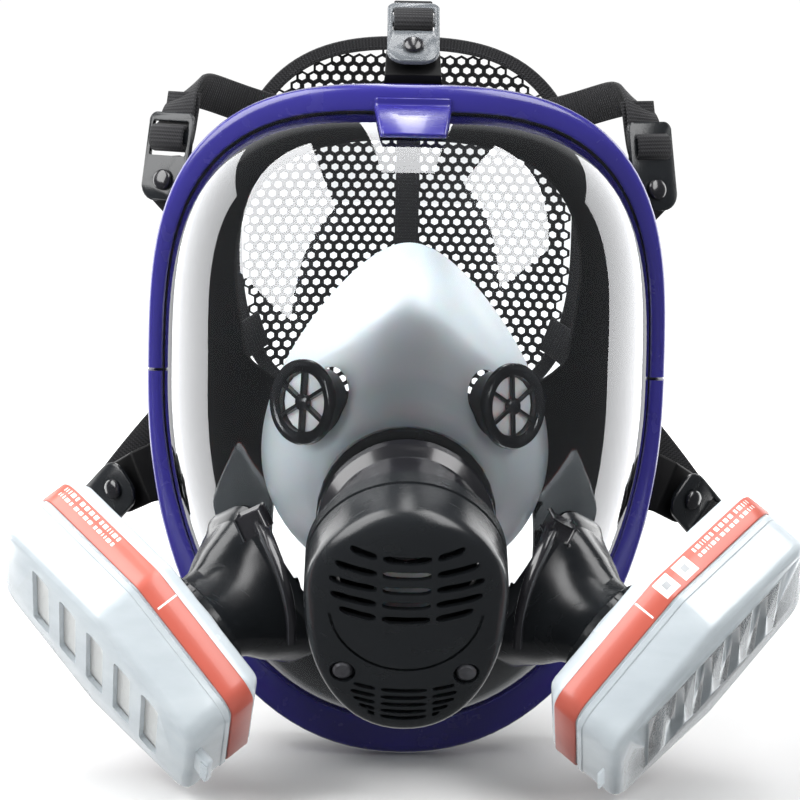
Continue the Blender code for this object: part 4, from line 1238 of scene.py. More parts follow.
@dataclass
class CentreUnit:
    """The louvred cover in front and the adapter that passes through the visor."""

    TILT = math.radians(24.0)
    CENTRE = Vector((0, -150, -65))
    IN = Vector((0.0, math.cos(TILT), math.sin(TILT)))
    UPWARD = Vector((0.0, -math.sin(TILT), math.cos(TILT)))

    rim: Rim = RIM
    radius: float = 35.4
    tip: float = 57.0
    wall: float = 2.0
    back: float = 31.0
    barrel: float = 28.0
    bore: float = 25.5
    barrel_end: float = 75.0
    screw_x: float = 21.5
    screw_drop: float = 28.7
    count: int = 96
    upper_slots: tuple[tuple[float, float], ...] = (
        (18.4, 19.5), (12.4, 24.5), (6.4, 26.5), (0.4, 26.0), (-5.6, 23.0))
    lower_slots: tuple[tuple[float, float], ...] = (
        (-36.0, 17.5), (-39.2, 18.5), (-42.4, 17.5), (-45.6, 15.5), (-48.8, 12.5))

    def egg(self, turn: float, inset: float, away: float) -> Vector:
        """A point of the cover's outline. turn is from the top; away is behind the face."""
        up, across = math.cos(turn), math.sin(turn)
        radius = self.radius - inset
        if up < 0:
            wide, tall = self.radius - inset, self.tip - inset
            radius = (abs(across / wide) ** 2.15 + abs(up / tall) ** 2.15) ** (-1 / 2.15)
        return self.CENTRE + RIGHT * across * radius + self.UPWARD * up * radius + self.IN * away

    def egg_loop(self, inset: float, away: float) -> Loop:
        """A ring round the outline."""
        return [self.egg(math.tau * step / self.count, inset, away)
                for step in range(self.count)]

    def face_loop(self, share: float, away: float, inner: bool) -> Loop:
        """A ring of the face, at a share of the way out from its middle."""
        inset = self.wall if inner else 0.0
        middle = self.CENTRE - self.UPWARD * 8.0 + self.IN * away
        return [middle.lerp(point, share) for point in self.egg_loop(inset, away)]

    def slot(self, lift: float, half: float, tall: float, low: float, high: float,
             sag: float) -> bpy.types.Object:
        """A cutter for one smile-curved slot between two X values."""
        loops = []
        for share in (0.0, 0.08, 0.2, 0.4, 0.6, 0.8, 0.92, 1.0):
            x = mix(low, high, share)
            narrow = 0.45 if share in (0.0, 1.0) else 0.85 if share in (0.08, 0.92) else 1.0
            rise = lift + sag * (x / half) ** 2
            base = self.CENTRE + RIGHT * x + self.UPWARD * rise
            high_edge = self.UPWARD * tall * narrow / 2
            loops.append([base + high_edge - self.IN * 5, base - high_edge - self.IN * 5,
                          base - high_edge + self.IN * 9, base + high_edge + self.IN * 9])
        return Form.skin("cut", loops)

    def build_cover(self) -> None:
        """Makes the louvred cover and its screws' wells."""
        outer = [(1.0, 9.0), (0.996, 7.4), (0.985, 6.0), (0.965, 4.8), (0.93, 3.6), (0.87, 2.6),
                 (0.78, 1.7), (0.62, 0.9), (0.4, 0.35), (0.2, 0.08)]
        loops = [self.face_loop(share, away, False) for share, away in reversed(outer)]
        loops += [self.egg_loop(0.0, 20.0), self.egg_loop(0.0, 23.0), self.egg_loop(0.7, 23.4),
                  self.egg_loop(0.7, 24.6), self.egg_loop(0.0, 25.0),
                  self.egg_loop(0.0, self.back), self.egg_loop(self.wall, self.back)]
        loops += [self.face_loop(share, away + self.wall, True) for share, away in outer]
        middle = self.CENTRE - self.UPWARD * 8.0
        cover = Form.skin("cover_shell", loops, poles=(middle, middle + self.IN * self.wall))
        added, cut = [], []
        for _, side in SIDES:
            place = self.CENTRE + RIGHT * self.screw_x * side - self.UPWARD * self.screw_drop
            added.append(Form.turned("boss", place, self.IN, ((5.2, 3.3), (5.2, 26.5)), 32))
            cut.append(Form.turned("cut", place, self.IN, ((4.6, -4), (4.6, 4.0), (3.9, 4.6),
                                                           (3.9, 5.6), (1.9, 5.6), (1.9, 40)),
                                   32))
        Form.combine(cover, added, "UNION")
        for slots, tall, sag, rib in ((self.upper_slots, 3.1, 4.2, 9.3),
                                      (self.lower_slots, 1.9, 2.6, 9.0)):
            for lift, half in slots:
                for low, high in ((-half, -rib - 1.0), (-rib + 1.0, rib - 1.0),
                                  (rib + 1.0, half)):
                    cut.append(self.slot(lift, half, tall, low, high, sag))
        groove = []
        for step in range(33):
            turn = math.radians(mix(98.0, 262.0, step / 32))
            place = self.CENTRE + (RIGHT * math.sin(turn) + self.UPWARD * math.cos(turn)) * 26.6
            groove.append(place + self.IN * 1.0)
        depth = self.IN
        cut.append(Form.rod("cut", groove, depth, lambda share: (1.5, 0.55), 10))
        Form.combine(cover, cut)
        Form.dress(cover, Finishes.BLACK, "facepiece", "black_plastic", ["front_cover"], 36)

    def seat_loop(self, radius: float, clear: float, inner: bool = False) -> Loop:
        """A circle about the unit's axis, moved back onto the visor."""
        loop = Form.ring(self.CENTRE + self.IN * 25, self.UPWARD, RIGHT, radius, self.count)
        return [self.rim.land(point, self.IN, clear, inner) for point in loop]

    def build_adapter(self) -> None:
        """Makes the barrel with its flange on the visor."""
        def circle(radius: float, away: float) -> Loop:
            """A ring about the axis."""
            return Form.ring(self.CENTRE + self.IN * away, self.UPWARD, RIGHT, radius,
                             self.count)

        def moved(loop: Loop, away: float) -> Loop:
            """The ring moved along the axis."""
            return [point + self.IN * away for point in loop]

        seat = self.seat_loop(32.0, -0.7)
        near = self.seat_loop(29.0, -0.7)
        loops = [self.egg_loop(2.7, 27.0), self.egg_loop(2.7, 31.0), circle(self.barrel, 31.0),
                 moved(near, -6.5), moved(near, -5.2), moved(seat, -3.0), moved(seat, -2.2),
                 seat, self.seat_loop(self.barrel, -0.7), circle(self.barrel, self.barrel_end),
                 circle(self.bore, self.barrel_end), circle(self.bore, 27.0)]
        adapter = Form.skin("adapter_barrel", loops, True)
        cut = []
        for _, side in SIDES:
            place = self.CENTRE + RIGHT * self.screw_x * side - self.UPWARD * self.screw_drop
            cut.append(Form.turned("cut", place, self.IN, ((1.9, 20), (1.9, 33)), 20))
        Form.combine(adapter, cut)
        Form.dress(adapter, Finishes.GLOSS, "facepiece", "black_plastic", ["centre_adapter"], 30)

    def build(self) -> None:
        """Makes the cover and the adapter."""
        self.build_cover()
        self.build_adapter()


# ------------------------------------------------------------------ ports and filters


@dataclass
class FilterSide:
    """The places and ways that the port and the filter of one side share."""

    label: str
    side: float
    port: Vector = field(default_factory=lambda: Vector((73.2, -107, -82)))
    out: Vector = field(default_factory=lambda: Vector((0.74, -0.42, -0.53)).normalized())
    length_way: Vector = field(default_factory=lambda: Vector((0.59, 0.41, 0.69)))
    corners: tuple[tuple[float, float], ...] = (
        (66, 26), (14, 37), (-38, 24), (-38, -30), (14, -45), (66, -34))
    corner_radius: float = 9.0

    def __post_init__(self) -> None:
        """Works out the axes and mirrors them to this side."""
        along = (self.length_way - self.out * self.length_way.dot(self.out)).normalized()
        beside = self.out.cross(along)
        self.port = flipped(self.port, self.side)
        self.out = flipped(self.out, self.side)
        self.along = flipped(along, self.side)
        self.beside = flipped(beside, self.side)

    def outline(self, inset: float, away: float, steps: int = 8) -> Loop:
        """A ring of the filter's outline, moved in by inset, away from the port's face."""
        found = []
        count = len(self.corners)
        for index in range(count):
            here = Vector(self.corners[index])
            before = (Vector(self.corners[index - 1]) - here).normalized()
            after = (Vector(self.corners[(index + 1) % count]) - here).normalized()
            half = before.angle(after) / 2
            middle = here + (before + after).normalized() * (self.corner_radius
                                                             / math.sin(half))
            start = here + before * (self.corner_radius / math.tan(half)) - middle
            end = here + after * (self.corner_radius / math.tan(half)) - middle
            arc = [middle + start.slerp(end, step / steps).normalized()
                   * (self.corner_radius - inset) for step in range(steps + 1)]
            found += [*arc, None]
        filled = []
        for index, place in enumerate(found):
            if place is None:
                before, after = found[index - 1], found[(index + 1) % len(found)]
                filled += [before.lerp(after, share) for share in (0.25, 0.5, 0.75)]
            else:
                filled.append(place)
        base = self.port + self.out * away
        return [base + self.along * p.x + self.beside * p.y for p in filled]

    def around(self, radius: float, away: float, count: int = 64) -> Loop:
        """A ring about the port's axis."""
        return Form.ring(self.port + self.out * away, self.along, self.beside, radius, count)


@dataclass
class Port:
    """The housing between the visor and a filter, with its clip."""

    place: FilterSide
    rim: Rim = RIM
    base: Vector = field(default_factory=lambda: Vector((56, -90, -75)))
    base_way: Vector = field(default_factory=lambda: Vector((0.6, -0.58, -0.55)).normalized())
    base_length: Vector = field(default_factory=lambda: Vector((0.42, 0.1, 0.88)))
    half_length: float = 30.0
    half_width: float = 18.0
    flange: float = 20.5
    neck: float = 14.5
    bore: float = 12.3
    count: int = 64

    def foot(self, half_length: float, half_width: float, more: float = 0.0) -> Loop:
        """A ring of the foot, on the visor, or raised from it."""
        side = self.place.side
        base, way = flipped(self.base, side), flipped(self.base_way, side)
        first = flipped(self.base_length, side)
        first = (first - way * first.dot(way)).normalized()
        second = way.cross(first) * side
        loop = []
        for step in range(self.count):
            turn = math.tau * step / self.count
            c, s = math.cos(turn), math.sin(turn)
            wide = half_width if s > 0 else half_width * 0.62
            reach = (abs(c / half_length) ** 5 + abs(s / wide) ** 5) ** -0.2
            start = base + way * 30 + (first * c + second * s) * reach
            loop.append(self.rim.land(start, -way, -0.7) - way * more)
        return loop

    def build(self, ribs: RepeatTree) -> None:
        """Makes the housing, its lugs, its ribs and the clip."""
        spot, label = self.place, self.place.label
        foot = [self.foot(self.half_length - more, self.half_width - more, -up)
                for up, more in ((4.4, 2.2), (3.2, 0.9), (1.6, 0.2), (0.0, 0.0))]
        waist = [[mix(high, low, share) for low, high in
                  zip(foot[0], spot.around(self.flange - 3.4, -5.0, self.count))]
                 for share in (0.0, 0.22, 0.5, 0.8)]
        waist[1] = [mix(point, spot.port - spot.out * 8, 0.05) for point in waist[1]]
        loops = [spot.around(self.neck, 8.0), spot.around(self.neck, 0.0),
                 spot.around(self.flange - 0.7, 0.0), spot.around(self.flange, -0.6),
                 spot.around(self.flange, -3.0), spot.around(self.flange - 0.8, -3.7),
                 spot.around(self.flange - 2.4, -3.9), *waist, *foot,
                 self.foot(13.4, 13.0), self.foot(13.4, 13.0, 4.6), self.foot(11.4, 11.0, 4.6),
                 self.foot(11.2, 10.8), spot.around(self.bore, -9.0),
                 spot.around(self.bore, 8.0)]
        housing = Form.skin("port_body_" + label, loops, True)
        lugs = []
        for step in range(3):
            turn = math.tau * step / 3 + 0.5
            reach = spot.along * math.cos(turn) + spot.beside * math.sin(turn)
            lugs.append(Form.block("lug", spot.port + spot.out * 5.6 + reach * 15.4,
                                   (reach, spot.out.cross(reach), spot.out),
                                   (5.6, 9.0, 2.0), 0.3))
        housing.name = "port_shell"
        housing = Form.joined("port_body_" + label, [housing, *lugs])
        Form.dress(housing, Finishes.BLACK, "facepiece", "black_plastic",
                   ["port_housing_" + label], 24)
        self.grip(ribs)
        self.clip()

    def grip(self, ribs: RepeatTree) -> None:
        """The short grip ribs round the flange."""
        spot = self.place
        spots = []
        for step in range(30):
            turn = math.tau * step / 30
            reach = spot.along * math.cos(turn) + spot.beside * math.sin(turn)
            spots.append((spot.port + spot.out * -1.9 + reach * self.flange, reach, spot.out))
        grown = ribs.grow("port_grip_" + spot.label, spots, (2.0, 1.5, 0.9), Finishes.BLACK)
        Form.dress(grown, Finishes.BLACK, "facepiece", "black_plastic", (), 30)

    def clip(self) -> None:
        """The curved arm beside the cover, with its catch."""
        spot, side = self.place, self.place.side
        points = [Vector((51.5 * side, -112.0, -43.5)), Vector((47.5 * side, -120.5, -50.0)),
                  Vector((43.0 * side, -126.5, -60.0)), Vector((40.0 * side, -128.5, -72.0)),
                  Vector((39.5 * side, -126.0, -83.0))]
        path = Form.smooth_path(points, 22)
        arm = Form.rod("arm", path, Vector((side, -0.4, 0.2)),
                       lambda share: (2.6 - 1.0 * share, 2.2 - 0.7 * share))
        catch = Form.block("catch", points[0] + Vector((2.5 * side, 1.0, 0.5)),
                           (Vector((0.86 * side, 0.25, -0.45)).normalized(),
                            Vector((0.2 * side, -0.93, -0.3)).normalized(),
                            Vector((0.45 * side, 0.2, 0.87)).normalized()),
                           (9.0, 5.0, 6.0), 1.2)
        arm = Form.joined("port_clip_" + spot.label, [arm, catch])
        Form.dress(arm, Finishes.GLOSS, "facepiece", "black_plastic", (), 40)


@dataclass
class Filter:
    """A cartridge, its printed band, its prefilter and the clip-on cap."""

    place: FilterSide
    thick: float = 18.0
    cap_back: float = 18.4
    cap_front: float = 36.0

    def build(self, ribs: RepeatTree) -> None:
        """Makes the filter's pieces."""
        self.cartridge()
        self.band()
        self.cap(ribs)

    def cartridge(self) -> None:
        """The translucent body, with its stepped edge and its bayonet socket."""
        spot, label = self.place, self.place.label
        rings = ((6.6, 1.2), (5.6, 1.5), (4.4, 2.4), (2.2, 4.9), (1.2, 5.9), (0.9, 7.0),
                 (0.9, 7.6), (0.6, 7.7), (0.6, 17.3), (0.9, 17.6), (0.9, self.thick))
        body = Form.skin("cartridge_shell_" + label,
                         [spot.outline(inset, away) for inset, away in rings])
        hub = Form.skin("hub", [spot.around(22.0, 3.0), spot.around(22.0, 0.2),
                                spot.around(21.4, -0.3)])
        Form.combine(body, [hub], "UNION")
        cut = [Form.turned("cut", spot.port, spot.out, ((19.2, 4.0), (19.2, 10.0)), 56),
               Form.turned("cut", spot.port, spot.out, ((15.1, -2), (15.1, 6.0)), 56)]
        for step in range(3):
            turn = math.tau * (step + 0.42) / 3 + 0.5
            reach = spot.along * math.cos(turn) + spot.beside * math.sin(turn)
            cut.append(Form.block("cut", spot.port + spot.out * 2.0 + reach * 13.5,
                                  (reach, spot.out.cross(reach), spot.out),
                                  (10.6, 10.6, 8.0)))
        Form.combine(body, cut)
        Form.dress(body, Finishes.BODY, "filter_" + label, "cartridge", ["cartridge_" + label],
                   32)

    def band(self) -> None:
        """The printed band round the cartridge."""
        spot, label = self.place, self.place.label
        rings = ((0.35, 7.7), (-0.1, 7.8), (-0.3, 8.1), (-0.3, 17.0), (-0.1, 17.3),
                 (0.35, 17.4))
        band = Form.skin("label_film_" + label,
                         [spot.outline(inset, away) for inset, away in rings], True,
                         mapped=True)
        film = Finishes.FILM if spot.side < 0 else Finishes.FILM_MARKED
        Form.dress(band, film, "filter_" + label, "label", ["label_band_" + label], 50)

    def cap(self, ribs: RepeatTree) -> None:
        """The clear cap with its slots, its latch and its grip ribs."""
        spot, label = self.place, self.place.label
        rings = ((2.6, self.cap_back), (-0.3, self.cap_back), (-0.6, self.cap_back + 0.4),
                 (-0.6, self.cap_back + 2.2), (-0.2, self.cap_back + 2.6),
                 (-0.1, self.cap_front - 3.4), (0.4, self.cap_front - 1.6),
                 (1.6, self.cap_front - 0.4), (3.2, self.cap_front))
        cap = Form.skin("cap_shell_" + label,
                        [spot.outline(inset, away) for inset, away in rings])
        hollow = Form.skin("cut", [spot.outline(2.6, self.cap_back - 4),
                                   spot.outline(2.6, self.cap_front - 2.6),
                                   spot.outline(3.4, self.cap_front - 2.0)])
        cut = [hollow]
        for step in range(5):
            place = (spot.port + spot.out * self.cap_front
                     + spot.along * (14 + (step - 2) * 15) - spot.beside * 4)
            cut.append(Form.block("cut", place, (spot.along, spot.beside, spot.out),
                                  (9, 44, 12), 2.0))
        Form.combine(cap, cut)
        tab = Form.block("tab", spot.port + spot.out * (self.cap_front - 4.0)
                         - spot.along * 40.0 + spot.beside * 2,
                         (spot.along, spot.beside, spot.out), (9.0, 18.0, 3.0), 1.0)
        Form.combine(cap, [tab], "UNION")
        Form.dress(cap, Finishes.CAP, "cap_" + label, "cap", ["retainer_cap_" + label], 36)
        spots = []
        for step in range(7):
            place = (spot.port + spot.out * (self.cap_front - 2.3) - spot.along * 43.0
                     + spot.beside * (2 + (step - 3) * 2.2))
            spots.append((place, spot.out, spot.along))
        grown = ribs.grow("cap_grip_" + label, spots, (3.0, 0.9, 0.8), Finishes.CAP)
        Form.dress(grown, Finishes.CAP, "cap_" + label, "cap", (), 30)


# ------------------------------------------------------------------ buckles, straps and net


@dataclass
class Station:
    """One strap's buckle: the stud's place, the way it faces and the way the strap leaves."""

    tag: str
    stud: Vector
    facing: Vector
    leave: Vector
    side: float

    @property
    def kind(self) -> str:
        """Top, upper or lower."""
        return self.tag.split("_")[0]

    @property
    def across(self) -> Vector:
        """The strap's width direction."""
        return self.facing.cross(self.leave).normalized()

    @property
    def base(self) -> Vector:
        """Where the buckle sits on its stud."""
        return self.stud + self.facing * 2.9

    @property
    def middle(self) -> Vector:
        """The middle of the buckle's thickness."""
        return self.base + self.facing * 1.1

    def spot(self, along: float, lift: float) -> Vector:
        """A point along the buckle and above its middle."""
        return self.middle + self.leave * along + self.facing * lift


@dataclass
class Harness:
    """Five buckles with their straps, and the knitted net behind the head."""

    strap_width: float = 14.5
    strap_thick: float = 1.6
    buckle_half: float = 9.75
    pad_centre: Vector = field(default_factory=lambda: Vector((0, 62, 48)))
    pad_half_width: float = 70.0
    pad_half_height: float = 77.0
    pad_squareness: float = 2.7
    cell: float = 4.5
    hole_share: float = 0.64

    @staticmethod
    def stations() -> list[Station]:
        """The five stations, with the side ones mirrored."""
        given = (("top", (0, -32, 119.5), (0, -0.62, 0.78), (0, 0.78, 0.62)),
                 ("upper", (91, -10, 70), (0.45, -0.86, 0.2), (-0.12, 0.2, 0.97)),
                 ("lower", (108, -5, -48), (0.62, -0.76, -0.1), (0.5, 0.5, -0.6)))
        found = []
        for name, stud, facing, leave in given:
            for label, side in SIDES:
                if name == "top" and side < 0:
                    continue
                way = flipped(Vector(facing), side).normalized()
                off = flipped(Vector(leave), side)
                off = (off - way * off.dot(way)).normalized()
                tag = name if name == "top" else name + "_" + label
                found.append(Station(tag, flipped(Vector(stud), side), way, off,
                                     side if name != "top" else 1.0))
        return found

    def depth(self, x: float, z: float) -> float:
        """Y of the net."""
        drop = (z - self.pad_centre.z) / self.pad_half_height
        return self.pad_centre.y - 16.0 * (x / self.pad_half_width) ** 2 - 9.0 * drop \
            - 7.0 * drop * drop

    def buckle(self, station: Station) -> None:
        """The plate, with rounded edges and two slots, and its stud."""
        tag = station.tag
        loops = []
        for lift, grow in ((-1.1, -0.4), (-0.7, 0.0), (0.7, 0.0), (1.1, -0.4)):
            ring = []
            half = self.buckle_half + grow
            corners = ((26 + grow, half), (-8 - grow, half), (-8 - grow, -half),
                       (26 + grow, -half))
            for index, (x, y) in enumerate(corners):
                radius = 3.0 if x > 0 else 6.5
                sx, sy = (1 if x > 0 else -1), (1 if y > 0 else -1)
                for step in range(7):
                    turn = math.pi / 2 * step / 6
                    turn = math.pi / 2 - turn if index % 2 else turn
                    ring.append(station.spot(x - sx * radius * (1 - math.cos(turn)), lift)
                                + station.across * (y - sy * radius * (1 - math.sin(turn))))
            loops.append(ring)
        plate = Form.skin("buckle_plate_" + tag, loops)
        cut = [Form.turned("cut", station.base, station.facing, ((2.3, -4), (2.3, 6)), 20)]
        for start, end in ((9.4, 14.2), (18.6, 22.6)):
            cut.append(Form.block("cut", station.spot((start + end) / 2, 0),
                                  (station.leave, station.across, station.facing),
                                  (end - start, 15.6, 6), 0.7))
        Form.combine(plate, cut)
        Form.soften(plate, 0.25, 2, 50)
        finish = Finishes.SMOKE if tag == "top" else Finishes.BLACK
        slot = "buckle_top" if tag == "top" else "buckle"
        Form.dress(plate, finish, "buckle_" + tag, slot, ["buckle_" + tag], 40)
        profile = [(4.0, -7.6), (4.0, -6.6), (1.9, -6.6), (1.9, 2.9), (3.9, 2.9), (3.9, 3.5)]
        profile += [(3.9 * math.cos(turn), 3.5 + 1.5 * math.sin(turn))
                    for turn in (0.3, 0.6, 0.9, 1.2, 1.42)]
        stud = Form.turned("stud_head_" + tag, station.base, station.facing, profile, 32)
        Form.dress(stud, Finishes.GLOSS, "facepiece", "stud", ["stud_" + tag], 35)

    def route(self, station: Station) -> tuple[Loop, Loop]:
        """The strap's line and its width direction, from the net to its folded tail."""
        joins = {"top": (0, 114), "upper": (50, 94), "lower": (57, 8)}
        arrivals = {"top": ((0, 0.35, -0.9), (1, 0, 0)),
                    "upper": ((-0.9, 0.4, -0.2), (0, -0.226, 1)),
                    "lower": ((-0.75, 0.6, 0.35), (0, -0.02, 1))}
        x, z = joins[station.kind]
        x = x * station.side
        end = Vector((x, self.depth(x, z) - 2.2, z))
        arrive = flipped(Vector(arrivals[station.kind][0]), station.side).normalized()
        flat = Vector(arrivals[station.kind][1])
        flat = flat if flat.dot(station.across) >= 0 else -flat
        start = station.middle + station.leave * 23.1 - station.facing * 2.9
        reach, come = (12.0, 16.0) if station.kind == "top" else (22.0, 34.0)
        bends = (end, end - arrive * come, start + station.leave * reach, start)
        places = Form.curve(bends, 40)
        sides = [station.across.lerp(flat, min((39 - step) / 26, 1.0)) for step in range(40)]
        fold = [station.spot(along, lift) for along, lift in
                ((22.4, -2.2), (20.9, -0.4), (20.4, 1.6), (19.4, 2.9), (17.6, 3.2),
                 (15.4, 3.2), (13.6, 2.9), (12.4, 1.6), (12.0, -0.2), (12.2, -2.0),
                 (13.4, -3.6), (16.0, -4.9), (21.0, -5.6), (28.0, -6.0), (35.0, -6.2))]
        smooth = Form.smooth_path(fold, 44)
        return places + smooth, sides + [station.across] * len(smooth)

    def strap(self, station: Station, stitches: RepeatTree) -> None:
        """One strap from the net through its buckle and back on itself."""
        tag = station.tag
        places, sides = self.route(station)
        strap = Form.ribbon("webbing_" + tag, places, sides, self.strap_width,
                            self.strap_thick)
        Form.dress(strap, Finishes.WEB, "", "webbing", ["strap_" + tag, "strap_loop_" + tag],
                   50)
        start, end = station.spot(30, 0) * MM, places[4] * MM
        "buckle_" + tag
        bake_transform(strap)

    def inside(self, x: float, z: float, inset: float = 0.0) -> bool:
        """Whether a place seen from the front is on the net."""
        return (abs(x / (self.pad_half_width - inset)) ** self.pad_squareness
                + abs((z - self.pad_centre.z) / (self.pad_half_height - inset))
                ** self.pad_squareness) <= 1.0

    def outline(self, inset: float, count: int = 160) -> Loop:
        """The net's edge."""
        found = []
        for step in range(count):
            turn = math.tau * step / count
            wide, tall = self.pad_half_width - inset, self.pad_half_height - inset
            power = self.pad_squareness
            radius = (abs(math.cos(turn) / wide) ** power
                      + abs(math.sin(turn) / tall) ** power) ** (-1 / power)
            x, z = radius * math.cos(turn), self.pad_centre.z + radius * math.sin(turn)
            found.append(Vector((x, self.depth(x, z) + 1.0, z)))
        return found

    def net(self, stitches: RepeatTree) -> None:
        """The knitted net, its bound edge and the strap down its middle."""
        mesh = bmesh.new()
        rows: list[dict[int, bmesh.types.BMVert]] = []
        rise = self.cell * 0.80
        tall = int(self.pad_half_height // rise) + 1
        wide = int(self.pad_half_width // self.cell) + 1
        for row in range(-tall, tall + 1):
            found = {}
            for step in range(-wide, wide + 1):
                x = (step + (0.5 if row % 2 else 0.0)) * self.cell
                z = self.pad_centre.z + row * rise
                if self.inside(x, z, 1.0):
                    found[step] = mesh.verts.new((x, self.depth(x, z) + 1.0, z))
            rows.append(found)
        for index in range(len(rows) - 1):
            odd = (index - tall) % 2
            here, there = rows[index], rows[index + 1]
            for step in range(-wide - 1, wide + 1):
                corners = (here.get(step), here.get(step + 1), there.get(step),
                           there.get(step + 1))
                if odd:
                    faces = ((here.get(step), here.get(step + 1), there.get(step + 1)),
                             (here.get(step), there.get(step + 1), there.get(step)))
                else:
                    faces = ((corners[0], corners[1], corners[2]),
                             (corners[1], corners[3], corners[2]))
                for face in faces:
                    if all(face):
                        mesh.faces.new(face)
        loose = [vert for vert in mesh.verts if not vert.link_faces]
        bmesh.ops.delete(mesh, geom=loose, context="VERTS")
        lattice = Form.write("net_cells", mesh, False)
        net = NetTree().knit(lattice, self.hole_share, 0.8, Finishes.NET)
        Form.dress(net, Finishes.NET, "facepiece", "net", ["harness_pad"], 60)
        edge = self.outline(0.6)
        loops = []
        for index, place in enumerate(edge):
            way = (edge[(index + 1) % len(edge)] - edge[index - 1]).normalized()
            out = Vector((place.x, 0, place.z - self.pad_centre.z)).normalized()
            out = (out - way * out.dot(way)).normalized()
            up = way.cross(out)
            loops.append([place + out * a + up * b for a, b in
                          ((1.6, 0.5), (1.2, 1.0), (-3.4, 1.0), (-3.8, 0.5), (-3.8, -0.5),
                           (-3.4, -1.0), (1.2, -1.0), (1.6, -0.5))])
        binding = Form.skin("net_binding", loops, True, mapped=True)
        Form.dress(binding, Finishes.WEB, "facepiece", "webbing", (), 50)
        places = []
        for step in range(40):
            z = mix(self.pad_centre.z + self.pad_half_height - 2, -20.0, step / 39)
            places.append(Vector((0, self.depth(0, z) - 0.6, z)))
        middle = Form.ribbon("net_strap", places, [RIGHT] * 40, 9.5, 1.4)
        Form.dress(middle, Finishes.WEB, "facepiece", "webbing", (), 50)
        self.stitching(edge, places, stitches)

    def stitching(self, edge: Loop, middle: Loop, stitches: RepeatTree) -> None:
        """Stitch rows on the binding and down both sides of the middle strap."""
        spots = []
        fine = Form.smooth_path([*edge, edge[0]], 230)
        for index, place in enumerate(fine[:-1]):
            way = (fine[index + 1] - place).normalized()
            out = Vector((place.x, 0, place.z - self.pad_centre.z)).normalized()
            up = way.cross(out).normalized()
            up = up if up.y < 0 else -up
            spots.append((place - out * 2.4 + up * 1.05, up, way))
        for x in (-3.6, 3.6):
            for place, after in zip(Form.smooth_path(middle, 60), middle[1:] + middle[-1:]):
                spots.append((place + RIGHT * x - BACK * 0.75, -BACK, UP))
        grown = stitches.grow("net_stitches", spots, (1.9, 0.5, 0.4), Finishes.THREAD)
        Form.dress(grown, Finishes.THREAD, "facepiece", "webbing", (), 60)

    def build(self, stitches: RepeatTree) -> None:
        """Makes the buckles, straps and net."""
        for station in self.stations():
            self.buckle(station)
            self.strap(station, stitches)
        self.net(stitches)


# ------------------------------------------------------------------ kept CAD pieces and studio


@dataclass
class KeptNodes:
    """Small inner CAD nodes that keep their shape and get a finish."""

    finishes: dict[str, Finish] = field(default_factory=lambda: {
        "frame_screw": Finishes.STEEL, "cup_valve_flap": Finishes.FLAP,
        "cover_screw": Finishes.DARK_STEEL, "adapter_nut": Finishes.BLACK,
        "valve_plate": Finishes.BLACK, "speech_diaphragm": Finishes.STEEL,
        "exhalation_flap": Finishes.FLAP, "inlet_seat": Finishes.BLACK,
        "inlet_flap": Finishes.FLAP, "port_gasket": Finishes.GASKET,
        "prefilter": Finishes.FELT})

    def dress(self) -> None:
        """Assigns the finishes to the nodes' material slots."""
        for name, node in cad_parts.items():
            for start, finish in self.finishes.items():
                if name.startswith(start):
                    for slot in node.material_slots:
                        slot.material = finish.material()


@dataclass(frozen=True)
class LightCard:
    """A bright card: its four corners in metres and its brightness."""

    name: str
    corners: tuple[tuple[float, float, float], ...]
    brightness: float
    reach: float = 1.6

    def build(self) -> None:
        """Makes the card, unseen by the camera itself."""
        mesh = bpy.data.meshes.new(self.name)
        places = [tuple(Vector(corner) * self.reach + Vector((0, -0.08, 0.02)))
                  for corner in self.corners]
        mesh.from_pydata(places, [], [tuple(range(len(places)))])
        card = bpy.data.objects.new(self.name, mesh)
        bpy.context.scene.collection.objects.link(card)
        made = bpy.data.materials.new(self.name)
        made.use_nodes = True
        made.node_tree.nodes.clear()
        bench = Bench(made.node_tree)
        bench.close(bench.add("ShaderNodeEmission", {},
                              {"Color": (1.0, 1.0, 1.0), "Strength": self.brightness}))
        mesh.materials.append(made)
        card.visible_camera = False
        card.visible_shadow = False


